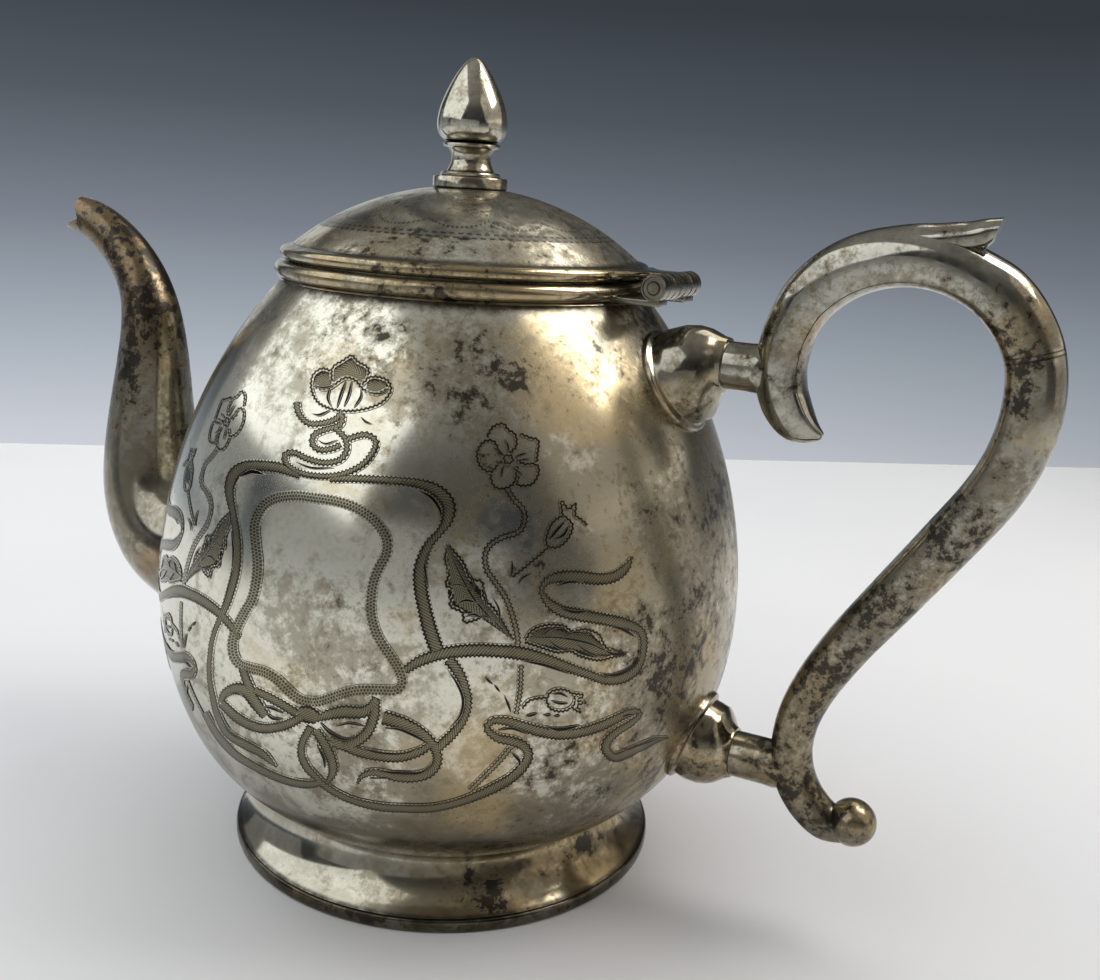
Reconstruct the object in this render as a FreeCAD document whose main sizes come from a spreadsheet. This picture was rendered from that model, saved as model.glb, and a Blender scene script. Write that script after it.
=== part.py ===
import FreeCAD, Part
import math
import os

import Sketcher

# Silver teapot: egg-shaped body on a flared foot, swan-neck spout, scroll handle, hinged domed lid.
# Frame: +Z up, origin at the centre of the foot's base, +X towards the handle, spout towards -X.

V = FreeCAD.Vector
LEFT = 1
RIGHT = -1
PART_FOLDER = "parts"

# Driving dimensions in millimetres, angles in degrees
SIZES = {
    # soldered seams and walls
    "solder_gap": 0.05,
    "wall": 1.2,
    # body: an egg drawn with three tangent arcs
    "belly_radius": 68.75,
    "belly_height": 63.3,
    "neck_radius": 41.45,
    "neck_height": 135.4,
    "bottom_height": 10.0,
    "bottom_sag": 0.7,
    # mouth wire round the neck
    "mouth_wire_height": 3.6,
    "mouth_wire_bulge": 1.75,
    # foot
    "foot_radius": 51.9,
    "foot_flare": 7.9,
    "foot_wire_height": 3.2,
    "foot_wire_width": 3.6,
    "foot_wire_lip": 0.7,
    # lid
    "lid_gap": 0.3,
    "lid_overhang": 0.55,
    "lid_wire_height": 3.2,
    "lid_wire_width": 4.4,
    "lid_wire_bulge": 1.55,
    "dome_arc": 60.7,
    "dome_inset": 2.5,
    "bezel_clearance": 0.7,
    "bezel_wall": 1.0,
    "bezel_depth": 4.6,
    # finial
    "finial_base_radius": 8.4,
    "finial_base_height": 2.6,
    "finial_step_radius": 6.55,
    "finial_step_height": 1.1,
    "stem_foot_radius": 5.3,
    "stem_waist_radius": 4.35,
    "stem_height": 5.1,
    "collar_radius": 6.4,
    "collar_height": 1.3,
    "bud_radius": 7.9,
    "bud_height": 18.2,
    "screw_radius": 2.0,
    "screw_reach": 6.0,
    "screw_tail": 1.0,
    "thread_gap": 0.05,
    "washer_radius": 6.0,
    "washer_thickness": 1.0,
    "nut_radius": 4.1,
    "nut_height": 3.4,
    # hinge
    "hinge_reach": 8.95,
    "hinge_rise": 0.2,
    "hinge_length": 21.9,
    "barrel_radius": 2.8,
    "pin_radius": 1.2,
    "pin_gap": 0.05,
    "lid_knuckle_length": 9.6,
    "knuckle_gap": 0.3,
    "leaf_thickness": 1.3,
    "lid_leaf_width": 24.0,
    "bracket_sink": 0.35,
    "bracket_lip": 1.2,
    # spout
    "spout_drop": 6.8,
    "spout_root_diameter": 41.0,
    "spout_tip_diameter": 9.4,
    "spout_reach": 58.2,
    "spout_wall": 1.4,
    "spout_port_radius": 13.0,
    "beak_depth": 7.0,
    # strainer behind the spout
    "strainer_overlap": 3.0,
    "strainer_thickness": 0.8,
    "strainer_hole_radius": 1.6,
    "strainer_pitch": 5.0,
    # handle sockets
    "upper_flange_radius": 11.9,
    "lower_flange_radius": 10.9,
    "flange_thickness": 1.3,
    "flange_step": 1.3,
    "cup_height": 1.9,
    "ring_radius": 5.9,
    "upper_cup_reach": 11.2,
    "lower_cup_reach": 9.8,
    # handle
    "stub_radius": 5.1,
    "tenon_depth": 6.5,
    "tenon_end_gap": 0.2,
    "upper_stub_lift": 4.6,
    "lower_stub_drop": 1.9,
    "loop_out": 31.4,
    "loop_radius": 25.0,
    "handle_thickness": 12.0,
    "joint_angle": 19.0,
    "column_out": 19.15,
    "curl_radius": 15.3,
    "curl_rise": 2.6,
    "ball_radius": 5.0,
}

# Shares that shape the body: lower arc to belly radius, and the angle where it meets the bottom arc
LOWER_ARC_SHARE = 1.0545
LOWER_ARC_ANGLE = 23.8
# Roundness of the foot's flare, as arc radius to chord
FLARE_SHARE = 0.77
# Socket heights: share of the way from belly to neck, and share of the lower arc below the belly
UPPER_SOCKET_SHARE = 0.778
LOWER_SOCKET_SHARE = 0.331
# Height of the spout's tip, as a share of the way from its root to the mouth
SPOUT_RISE_SHARE = 1.065
# Bud stations from foot to tip: share of height, share of radius
BUD_STATIONS = (
    (0.00, 0.71),
    (0.06, 0.92),
    (0.15, 1.00),
    (0.29, 0.96),
    (0.45, 0.84),
    (0.62, 0.66),
    (0.78, 0.44),
    (0.92, 0.21),
    (1.00, 0.08),
)
# Spout stations from root to tip: share of reach, share of rise, heading in degrees, share of root size
SPOUT_STATIONS = (
    (-0.15, 0.00, 180.0, 1.00),
    (0.13, 0.006, 163.0, 0.95),
    (0.33, 0.05, 133.0, 0.86),
    (0.47, 0.20, 97.0, 0.62),
    (0.475, 0.41, 88.0, 0.43),
    (0.455, 0.64, 92.0, 0.27),
    (0.515, 0.825, 122.0, 0.145),
    (0.77, 0.975, 151.0, 0.08),
    (1.00, 1.00, 172.0, 0.00),
)
# Upper scroll stations from hook tip to joint: angle round the loop, share of loop radius,
# heading in degrees, share of handle thickness
HOOK_STATIONS = (
    (220.2, 0.73, 166.0, 0.25),
    (209.3, 0.865, 150.0, 0.63),
    (191.9, 0.97, 112.0, 0.85),
)
LOOP_STATIONS = (
    (174.7, 1.00, 0.85),
    (144.0, 1.065, 0.74),
    (119.0, 1.04, 0.84),
    (97.4, 0.97, 0.90),
    (70.0, 0.99, 0.93),
    (49.9, 1.03, 1.00),
)
THUMB_STATIONS = (
    (107.2, 1.08, 12.0, 0.66),
    (83.8, 1.11, 11.0, 0.66),
    (64.0, 1.33, 14.0, 0.52),
)
# Lower scroll stations below the joint: share of the way out from column to joint,
# share of the way up from lower stub to joint, heading, share of handle thickness
RUN_STATIONS = (
    (1.035, 0.895, -93.0, 1.00),
    (0.925, 0.74, -116.0, 0.98),
    (0.71, 0.595, -120.5, 0.965),
    (0.465, 0.44, -120.5, 0.92),
    (0.24, 0.295, -119.0, 0.87),
    (0.075, 0.165, -110.0, 0.82),
    (0.00, 0.05, -95.0, 0.74),
)
# Curl stations: angle round the curl, share of handle thickness
CURL_STATIONS = (
    (207.0, 0.64),
    (235.0, 0.60),
    (259.0, 0.56),
)
BALL_OUT = 0.9
BALL_DROP = 0.7


class Dim:
    """A size worked out from the sheet: its present number, and the formula that keeps it live."""

    def __init__(self, value, text):
        self.value = float(value)
        self.text = text

    def __add__(self, other):
        other = dim(other)
        return Dim(self.value + other.value, f"({self.text} + {other.text})")

    def __sub__(self, other):
        other = dim(other)
        return Dim(self.value - other.value, f"({self.text} - {other.text})")

    def __mul__(self, other):
        other = dim(other)
        return Dim(self.value * other.value, f"({self.text} * {other.text})")

    def __truediv__(self, other):
        other = dim(other)
        return Dim(self.value / other.value, f"({self.text} / {other.text})")

    def __neg__(self):
        return Dim(-self.value, f"(0 - {self.text})")

    def root(self):
        return Dim(math.sqrt(self.value), f"sqrt({self.text})")

    def cos(self):
        return Dim(math.cos(math.radians(self.value)), f"cos({self.text} * 1 deg)")

    def sin(self):
        return Dim(math.sin(math.radians(self.value)), f"sin({self.text} * 1 deg)")


def dim(number):
    if isinstance(number, Dim):
        return number
    return Dim(number, f"({float(number)!r})")


def size(name):
    return Dim(SIZES[name], f"Sizes.{name}")


def leg(long_side, short_side):
    """Other leg of a right triangle."""
    return (long_side * long_side - short_side * short_side).root()


doc = FreeCAD.newDocument("teapot")
sheet = doc.addObject("Spreadsheet::Sheet", "Sizes")
for row, (alias, number) in enumerate(SIZES.items(), start=1):
    sheet.set(f"A{row}", alias)
    sheet.set(f"B{row}", str(number))
    sheet.setAlias(f"B{row}", alias)
doc.recompute()

parts = []


def bind(thing, prop, length):
    thing.setExpression(prop, dim(length).text)


def new_body(label):
    body = doc.addObject("PartDesign::Body", label)
    body.Label = label
    parts.append(body)
    return body


def origin_plane(body, role):
    return next(feature for feature in body.Origin.OriginFeatures if feature.Role == role)


def new_sketch(body, name, role, shift=(0, 0, 0), lean=0.0):
    """Sketch on one of the body's own planes, moved by shift and leant about its first axis."""
    sketch = body.newObject("Sketcher::SketchObject", name)
    sketch.AttachmentSupport = [(origin_plane(body, role), "")]
    sketch.MapMode = "FlatFace"
    shift = [dim(length) for length in shift]
    place = V(*[length.value for length in shift])
    sketch.AttachmentOffset = FreeCAD.Placement(place, FreeCAD.Rotation(V(1, 0, 0), lean))
    for axis, length in zip("xyz", shift):
        if length.value:
            bind(sketch, f"AttachmentOffset.Base.{axis}", length)
    return sketch


def arc_edge(start, end, radius, side):
    """Arc from start to end with its centre on the given side, and which end is which."""
    chord = end - start
    half = chord.Length / 2
    away = V(-chord.y, chord.x, 0).normalize()
    rise = math.sqrt(max(radius * radius - half * half, 0.0))
    centre = (start + end) * 0.5 + away * (side * rise)
    first, last = (start, end) if side == LEFT else (end, start)
    angles = [math.atan2(point.y - centre.y, point.x - centre.x) for point in (first, last)]
    edge = Part.ArcOfCircle(Part.Circle(centre, V(0, 0, 1), radius), angles[0], angles[1])
    return edge, ((1, 2) if side == LEFT else (2, 1))


def fix_point(sketch, edge, end, across, up):
    """Hold one corner at its distances from the sketch's axes."""
    for kind, axis, length in (("DistanceX", -2, across), ("DistanceY", -1, up)):
        if abs(length.value) < 1e-9:
            sketch.addConstraint(Sketcher.Constraint("PointOnObject", edge, end, axis))
            continue
        if length.value > 0:
            rule = Sketcher.Constraint(kind, -1, 1, edge, end, length.value)
            held = length
        else:
            rule = Sketcher.Constraint(kind, edge, end, -1, 1, -length.value)
            held = -length
        number = sketch.addConstraint(rule)
        name = f"{kind[-1].lower()}{number}"
        sketch.renameConstraint(number, name)
        bind(sketch, f"Constraints.{name}", held)


def outline(sketch, corners):
    """Closed outline: each corner is (across, up), or (across, up, radius, side) before an arc."""
    corners = [tuple(dim(part) if index < 3 else part for index, part in enumerate(corner))
               for corner in corners]
    points = [V(corner[0].value, corner[1].value, 0) for corner in corners]
    ends = []
    for index, corner in enumerate(corners):
        start, end = points[index], points[(index + 1) % len(points)]
        if len(corner) == 2:
            edge, order = Part.LineSegment(start, end), (1, 2)
        else:
            edge, order = arc_edge(start, end, corner[2].value, corner[3])
        sketch.addGeometry(edge, False)
        ends.append(order)
    for index, corner in enumerate(corners):
        after = (index + 1) % len(corners)
        sketch.addConstraint(Sketcher.Constraint("Coincident", index, ends[index][1],
                                                 after, ends[after][0]))
        fix_point(sketch, index, ends[index][0], corner[0], corner[1])
        if len(corner) > 2:
            number = sketch.addConstraint(Sketcher.Constraint("Radius", index, corner[2].value))
            sketch.renameConstraint(number, f"arc{number}")
            bind(sketch, f"Constraints.arc{number}", corner[2])


def round_hole(sketch, radius, across=0, up=0):
    """Circle in a sketch, held at its centre and radius."""
    across, up, radius = dim(across), dim(up), dim(radius)
    index = sketch.addGeometry(Part.Circle(V(across.value, up.value, 0), V(0, 0, 1), radius.value), False)
    fix_point(sketch, index, 3, across, up)
    number = sketch.addConstraint(Sketcher.Constraint("Radius", index, radius.value))
    sketch.renameConstraint(number, f"radius{number}")
    bind(sketch, f"Constraints.radius{number}", radius)


def turn(body, sketch, name, kind="PartDesign::Revolution"):
    feature = body.newObject(kind, name)
    feature.Profile = sketch
    feature.ReferenceAxis = (sketch, ["V_Axis"])
    feature.Angle = 360
    return feature


def pad(body, sketch, name, length):
    feature = body.newObject("PartDesign::Pad", name)
    feature.Profile = sketch
    bind(feature, "Length", length)
    return feature


def pocket(body, sketch, name, length=None, symmetric=False, reverse=False):
    feature = body.newObject("PartDesign::Pocket", name)
    feature.Profile = sketch
    feature.Reversed = reverse
    if symmetric:
        feature.SideType = "Symmetric"
    if length is None:
        feature.Type = "ThroughAll"
    else:
        bind(feature, "Length", length)
    return feature


def loft(body, name, stations, kind="PartDesign::AdditiveLoft"):
    """Loft through round sections; a station is (x, z, heading from +X towards +Z, diameter)."""
    sections = []
    for index, (x, z, heading, diameter) in enumerate(stations):
        sketch = new_sketch(body, f"{name}_{index}", "YZ_Plane", (0, z, x), -heading)
        round_hole(sketch, dim(diameter) / 2)
        sections.append(sketch)
    feature = body.newObject(kind, name)
    feature.Profile = sections[0]
    feature.Sections = sections[1:]
    return feature


def turned_part(label, corners):
    body = new_body(label)
    sketch = new_sketch(body, f"{label}_profile", "XZ_Plane")
    outline(sketch, corners)
    turn(body, sketch, f"{label}_turned")
    return body


# Body of the pot: the outer egg, moved in or out by an offset, gives every seat on it
gap = size("solder_gap")
wall = size("wall")
belly_radius = size("belly_radius")
belly_height = size("belly_height")
neck_radius = size("neck_radius")
neck_height = size("neck_height")
bottom_height = size("bottom_height")
narrowing = belly_radius - neck_radius
shoulder_rise = neck_height - belly_height
shoulder_arc = (narrowing * narrowing + shoulder_rise * shoulder_rise) / (narrowing * 2)
lower_arc = belly_radius * LOWER_ARC_SHARE
lower_turn = dim(LOWER_ARC_ANGLE)
lower_fall = belly_height - lower_arc * lower_turn.sin() - (bottom_height - size("bottom_sag"))
bottom_arc = lower_fall / (dim(1) - lower_turn.sin())
shoulder_x = belly_radius - shoulder_arc
lower_x = belly_radius - lower_arc
bottom_x = lower_x + (lower_arc - bottom_arc) * lower_turn.cos()
bottom_z = belly_height - (lower_arc - bottom_arc) * lower_turn.sin()


def shoulder_radius(height, offset=0):
    return shoulder_x + leg(shoulder_arc + offset, height - belly_height)


def bottom_radius(height, offset=0):
    return bottom_x + leg(bottom_arc + offset, bottom_z - height)


def bottom_height_at(radius, offset=0):
    return bottom_z - leg(bottom_arc + offset, radius - bottom_x)


def turn_point(offset=0):
    reach = lower_arc + offset
    return lower_x + reach * lower_turn.cos(), belly_height - reach * lower_turn.sin()


def egg_outline(low, high, offset):
    """Corners of the egg from low to high, going up, with its three arcs."""
    turn_x, turn_z = turn_point(offset)
    return [
        (bottom_radius(low, offset), low, bottom_arc + offset, LEFT),
        (turn_x, turn_z, lower_arc + offset, LEFT),
        (belly_radius + offset, belly_height, shoulder_arc + offset, LEFT),
        (shoulder_radius(high, offset), high),
    ]


def reversed_egg(low, high, offset):
    """The same corners going down, for the inside of a wall."""
    turn_x, turn_z = turn_point(offset)
    return [
        (shoulder_radius(high, offset), high, shoulder_arc + offset, RIGHT),
        (belly_radius + offset, belly_height, lower_arc + offset, RIGHT),
        (turn_x, turn_z, bottom_arc + offset, RIGHT),
        (bottom_radius(low, offset), low),
    ]


neck_inner = neck_radius - wall
mouth_wire_low = neck_height + gap * 2
neck_top = mouth_wire_low + size("mouth_wire_height")
floor_height = bottom_height + wall
spout_root = belly_height - size("spout_drop")


def inner_shoulder_height(radius):
    """Height at which the inside of the shoulder reaches a radius."""
    return belly_height + leg(shoulder_arc - wall, radius - shoulder_x)


def make_body_shell():
    inner_neck = inner_shoulder_height(neck_inner)
    body = turned_part("body_shell", [
        (dim(0), bottom_height),
        *egg_outline(bottom_height, neck_height, 0),
        (neck_radius, neck_top),
        (neck_inner, neck_top),
        *reversed_egg(floor_height, inner_neck, -wall),
        (dim(0), floor_height),
    ])
    port = new_sketch(body, "spout_port", "YZ_Plane", (0, spout_root, 0))
    round_hole(port, size("spout_port_radius"))
    pocket(body, port, "spout_port_cut")


def seat_on_pot(body):
    """Trim a piece back to the pot's outside, with the seam's gap, mouth wire included."""
    low = bottom_height
    wire_top = neck_top + gap
    wire_arc = wire_round(wire_top - neck_height, size("mouth_wire_bulge") + gap)
    sketch = new_sketch(body, "pot_outside", "XZ_Plane")
    outline(sketch, [
        (dim(0), low),
        *egg_outline(low, neck_height, gap)[:-1],
        (shoulder_radius(neck_height, gap), neck_height, wire_arc, LEFT),
        (shoulder_radius(neck_height, gap), wire_top),
        (dim(0), wire_top),
    ])
    turn(body, sketch, "pot_seat", "PartDesign::Groove")


def wire_round(height, bulge):
    """Radius of a half-round wire from its height and how far it stands out."""
    half = height / 2
    return (half * half + bulge * bulge) / (bulge * 2)


def make_mouth_wire():
    wire_arc = wire_round(size("mouth_wire_height"), size("mouth_wire_bulge"))
    turned_part("mouth_rim_wire", [
        (neck_radius + gap, mouth_wire_low, wire_arc, LEFT),
        (neck_radius + gap, neck_top),
    ])


foot_radius = size("foot_radius")
foot_wire_top = size("foot_wire_height")
foot_neck = foot_radius - size("foot_flare")


def make_foot():
    lip = size("foot_wire_lip")
    seam = foot_radius - lip
    seat = bottom_height_at(foot_neck, gap)
    reach = seam - foot_neck
    climb = seat - foot_wire_top
    flare = (reach * reach + climb * climb).root() * FLARE_SHARE
    turned_part("foot_ring", [
        (foot_neck - wall, bottom_height_at(foot_neck - wall, gap), bottom_arc + gap, LEFT),
        (foot_neck, seat, flare, LEFT),
        (seam, foot_wire_top),
        (seam - wall, foot_wire_top, flare + wall, RIGHT),
    ])
    inner = foot_radius - size("foot_wire_width")
    cove = (foot_wire_top - lip * 2) * 0.75
    turned_part("foot_edge_wire", [
        (inner, dim(0)),
        (foot_radius, dim(0)),
        (foot_radius, lip, cove, RIGHT),
        (foot_radius - lip / 2, foot_wire_top - lip),
        (foot_radius - lip / 2, foot_wire_top),
        (inner, foot_wire_top),
    ])


# Lid
lid_low = neck_top + size("lid_gap")
lid_wire_top = lid_low + size("lid_wire_height")
lid_wire_radius = neck_radius + size("lid_overhang")
lid_wire_flat = lid_wire_radius - size("lid_wire_bulge")
dome_arc = size("dome_arc")
dome_edge = lid_wire_radius - size("dome_inset")
dome_centre = lid_wire_top - leg(dome_arc, dome_edge)
screw_radius = size("screw_radius")
screw_hole = screw_radius + size("thread_gap")


def dome_height(radius, offset=0):
    return dome_centre + leg(dome_arc + offset, radius)


def make_lid():
    low = lid_wire_top
    inner_edge = leg(dome_arc - wall, low - dome_centre)
    turned_part("lid_dome", [
        (dome_edge, low, dome_arc, LEFT),
        (screw_hole, dome_height(screw_hole)),
        (screw_hole, dome_height(screw_hole, -wall), dome_arc - wall, RIGHT),
        (inner_edge, low),
    ])
    turned_part("lid_rim_wire", [
        (lid_wire_radius - size("lid_wire_width"), lid_low),
        (lid_wire_flat, lid_low, wire_round(size("lid_wire_height"), size("lid_wire_bulge")), LEFT),
        (lid_wire_flat, lid_wire_top),
        (lid_wire_radius - size("lid_wire_width"), lid_wire_top),
    ])
    outer = neck_inner - size("bezel_clearance")
    inner = outer - size("bezel_wall")
    turned_part("lid_bezel", [
        (inner, lid_low - size("bezel_depth")),
        (outer, lid_low - size("bezel_depth")),
        (outer, lid_low),
        (inner, lid_low),
    ])


# Finial: base, stem and bud stacked on the dome, held by a screw, washer and nut
base_radius = size("finial_base_radius")
base_low = dome_height(base_radius, gap)
base_top = base_low + size("finial_base_height")
step_top = base_top + size("finial_step_height")
waist_top = step_top + size("stem_height")
collar_top = waist_top + size("collar_height")


def make_finial():
    turned_part("finial_base", [
        (screw_hole, dome_height(screw_hole, gap), dome_arc + gap, RIGHT),
        (base_radius, base_low),
        (base_radius, base_top),
        (size("finial_step_radius"), base_top),
        (size("finial_step_radius"), step_top),
        (screw_hole, step_top),
    ])
    foot = size("stem_foot_radius")
    waist = size("stem_waist_radius")
    dip = foot - waist
    half = size("stem_height") / 2
    hollow = (half * half + dip * dip) / (dip * 2)
    turned_part("finial_stem", [
        (screw_hole, step_top),
        (foot, step_top, hollow, RIGHT),
        (foot, waist_top),
        (size("collar_radius"), waist_top),
        (size("collar_radius"), collar_top),
        (screw_hole, collar_top),
    ])
    bud = new_body("finial_bud")
    stations = []
    for up, share in BUD_STATIONS:
        stations.append((dim(0), collar_top + size("bud_height") * up, 90.0, size("bud_radius") * share * 2))
    loft(bud, "bud", stations)
    socket = new_sketch(bud, "screw_socket", "XY_Plane", (0, 0, collar_top))
    round_hole(socket, screw_hole)
    pocket(bud, socket, "screw_socket_cut", size("screw_reach") + size("thread_gap"), reverse=True)


def cylinder(name, radius, height, low):
    rod = doc.addObject("Part::Cylinder", name)
    bind(rod, "Radius", radius)
    bind(rod, "Height", height)
    bind(rod, "Placement.Base.z", low)
    return rod


def bored(label, blank, hole_radius, height, low):
    """Blank with a round hole up its middle."""
    cut = doc.addObject("Part::Cut", label)
    cut.Label = label
    cut.Base = blank
    cut.Tool = cylinder(f"{label}_bore", hole_radius, height, low)
    parts.append(cut)


def make_finial_fixings():
    washer_radius = size("washer_radius")
    washer_top = dome_height(washer_radius, -wall) - gap
    washer_thickness = size("washer_thickness")
    washer_low = washer_top - washer_thickness
    nut_low = washer_low - size("nut_height")
    screw_low = nut_low - size("screw_tail")
    screw = cylinder("finial_screw", screw_radius, collar_top + size("screw_reach") - screw_low, screw_low)
    screw.Label = "finial_screw"
    parts.append(screw)
    disc = cylinder("washer_blank", washer_radius, washer_thickness, washer_low)
    bored("finial_washer", disc, screw_hole, washer_thickness, washer_low)
    hexagon = doc.addObject("Part::Prism", "nut_blank")
    hexagon.Polygon = 6
    bind(hexagon, "Circumradius", size("nut_radius"))
    bind(hexagon, "Height", size("nut_height"))
    bind(hexagon, "Placement.Base.z", nut_low)
    bored("finial_nut", hexagon, screw_hole, size("nut_height"), nut_low)


# Hinge between the mouth wire and the lid wire, on the handle side
hinge_x = neck_radius + size("hinge_reach")
hinge_z = neck_top + size("hinge_rise")
hinge_length = size("hinge_length")
barrel_radius = size("barrel_radius")
pin_radius = size("pin_radius")
leaf_thickness = size("leaf_thickness")
lid_knuckle = size("lid_knuckle_length")
knuckle_gap = size("knuckle_gap")
body_knuckle = (hinge_length - lid_knuckle) / 2 - knuckle_gap


def knuckle(body, name, front, length):
    """Barrel length along the pin; front is how far its back face lies towards the photographed side."""
    sketch = new_sketch(body, name, "XZ_Plane", (0, 0, front))
    round_hole(sketch, barrel_radius, hinge_x, hinge_z)
    pad(body, sketch, f"{name}_barrel", length)


def pin_bore(body, radius):
    sketch = new_sketch(body, "pin_bore", "XZ_Plane")
    round_hole(sketch, radius, hinge_x, hinge_z)
    pocket(body, sketch, "pin_bore_cut", hinge_length * 2, symmetric=True)


def make_hinge_bracket():
    body = new_body("hinge_body_leaf")
    top = hinge_z - barrel_radius + size("bracket_sink")
    half = hinge_length / 2
    outer = hinge_x + size("bracket_lip")
    plate = new_sketch(body, "bracket_plan", "XY_Plane", (0, 0, top - leaf_thickness))
    inner = neck_inner
    outline(plate, [(inner, -half), (outer, -half), (outer, half), (inner, half)])
    pad(body, plate, "bracket_plate", leaf_thickness)
    slot = new_sketch(body, "lid_knuckle_room", "XY_Plane", (0, 0, top))
    slot_half = lid_knuckle / 2 + knuckle_gap
    slot_inner = hinge_x - barrel_radius - knuckle_gap
    slot_outer = outer + leaf_thickness
    outline(slot, [(slot_inner, -slot_half), (slot_outer, -slot_half),
                   (slot_outer, slot_half), (slot_inner, slot_half)])
    pocket(body, slot, "lid_knuckle_slot", leaf_thickness * 2)
    knuckle(body, "front_knuckle", lid_knuckle / 2 + knuckle_gap, body_knuckle)
    knuckle(body, "rear_knuckle", -half, body_knuckle)
    pin_bore(body, pin_radius + size("pin_gap"))
    seat_on_pot(body)


def make_lid_leaf():
    body = new_body("hinge_lid_leaf")
    top = hinge_z + barrel_radius
    half = size("lid_leaf_width") / 2
    rim = lid_wire_radius + gap
    rim_x = leg(rim, half)
    waist_x = hinge_x - barrel_radius - knuckle_gap * 2
    waist = lid_knuckle / 2
    plate = new_sketch(body, "lid_leaf_plan", "XY_Plane", (0, 0, top - leaf_thickness))
    outline(plate, [
        (rim_x, -half),
        (waist_x, -waist),
        (hinge_x, -waist),
        (hinge_x, waist),
        (waist_x, waist),
        (rim_x, half, rim, RIGHT),
    ])
    pad(body, plate, "lid_leaf_plate", leaf_thickness)
    knuckle(body, "lid_knuckle", -waist, lid_knuckle)
    pin_bore(body, pin_radius + size("pin_gap"))


def make_hinge_pin():
    pin = doc.addObject("Part::Cylinder", "hinge_pin")
    pin.Label = "hinge_pin"
    pin.Placement = FreeCAD.Placement(V(0, 0, 0), FreeCAD.Rotation(V(1, 0, 0), 90))
    bind(pin, "Radius", pin_radius)
    bind(pin, "Height", hinge_length)
    bind(pin, "Placement.Base.x", hinge_x)
    bind(pin, "Placement.Base.y", hinge_length / 2)
    bind(pin, "Placement.Base.z", hinge_z)
    parts.append(pin)


# Spout, hollow along its whole swan neck
spout_rise = (neck_top - spout_root) * SPOUT_RISE_SHARE


def spout_stations(thinner):
    """Round sections of the spout; thinner takes a wall off each side."""
    root = size("spout_root_diameter")
    tip = size("spout_tip_diameter")
    stations = []
    for out, up, heading, share in SPOUT_STATIONS:
        x = -(belly_radius + size("spout_reach") * out)
        z = spout_root + spout_rise * up
        diameter = tip + (root - tip) * share - dim(thinner) * 2
        stations.append((x, z, heading, diameter))
    return stations


def make_spout():
    body = new_body("spout")
    loft(body, "spout_outside", spout_stations(0))
    loft(body, "spout_channel", spout_stations(size("spout_wall")), "PartDesign::SubtractiveLoft")
    seat_on_pot(body)
    depth = size("beak_depth")
    tip_x = -(belly_radius + size("spout_reach"))
    tip_z = spout_root + spout_rise
    beak = new_sketch(body, "beak", "XZ_Plane")
    outline(beak, [
        (tip_x + depth, tip_z - depth * 0.25),
        (tip_x + depth * 0.4, tip_z + depth * 1.3),
        (tip_x - depth, tip_z + depth * 1.3),
        (tip_x - depth, tip_z - depth * 1.45),
    ])
    pocket(body, beak, "beak_cut", size("spout_root_diameter"), symmetric=True)


def make_strainer():
    """Pierced plate soldered inside the pot over the spout's port; modelled on +X, then turned round."""
    body = new_body("spout_strainer")
    reach = size("spout_port_radius") + size("strainer_overlap")
    outer = -(wall + gap)
    inner = outer - size("strainer_thickness")
    low = spout_root - reach
    high = spout_root + reach

    def belly(height, offset):
        return lower_x + leg(lower_arc + offset, belly_height - height)

    def shoulder(height, offset):
        return shoulder_radius(height, offset)

    band = new_sketch(body, "strainer_band", "XZ_Plane")
    outline(band, [
        (belly(low, outer), low, lower_arc + outer, LEFT),
        (belly_radius + outer, belly_height, shoulder_arc + outer, LEFT),
        (shoulder(high, outer), high),
        (shoulder(high, inner), high, shoulder_arc + inner, RIGHT),
        (belly_radius + inner, belly_height, lower_arc + inner, RIGHT),
        (belly(low, inner), low),
    ])
    plate = turn(body, band, "strainer_plate")
    plate.Midplane = True
    plate.Angle = math.degrees(2 * math.asin(reach.value / belly_radius.value))
    bind(plate, "Angle", Dim(plate.Angle.Value, f"2 * asin({reach.text} / {belly_radius.text})"))
    rings = ((0, 1), (1, 6), (2, 12))
    for ring, count in rings:
        hole = new_sketch(body, f"hole_ring_{ring}", "YZ_Plane", (0, spout_root, 0))
        round_hole(hole, size("strainer_hole_radius"), size("strainer_pitch") * ring)
        cut = pocket(body, hole, f"hole_cut_{ring}", reverse=True)
        if count == 1:
            continue
        pattern = body.newObject("PartDesign::PolarPattern", f"hole_pattern_{ring}")
        pattern.Originals = [cut]
        pattern.Axis = (hole, ["N_Axis"])
        pattern.Angle = 360
        pattern.Occurrences = count
        body.Tip = pattern
    body.Placement = FreeCAD.Placement(V(0, 0, 0), FreeCAD.Rotation(V(0, 0, 1), 180))


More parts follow.
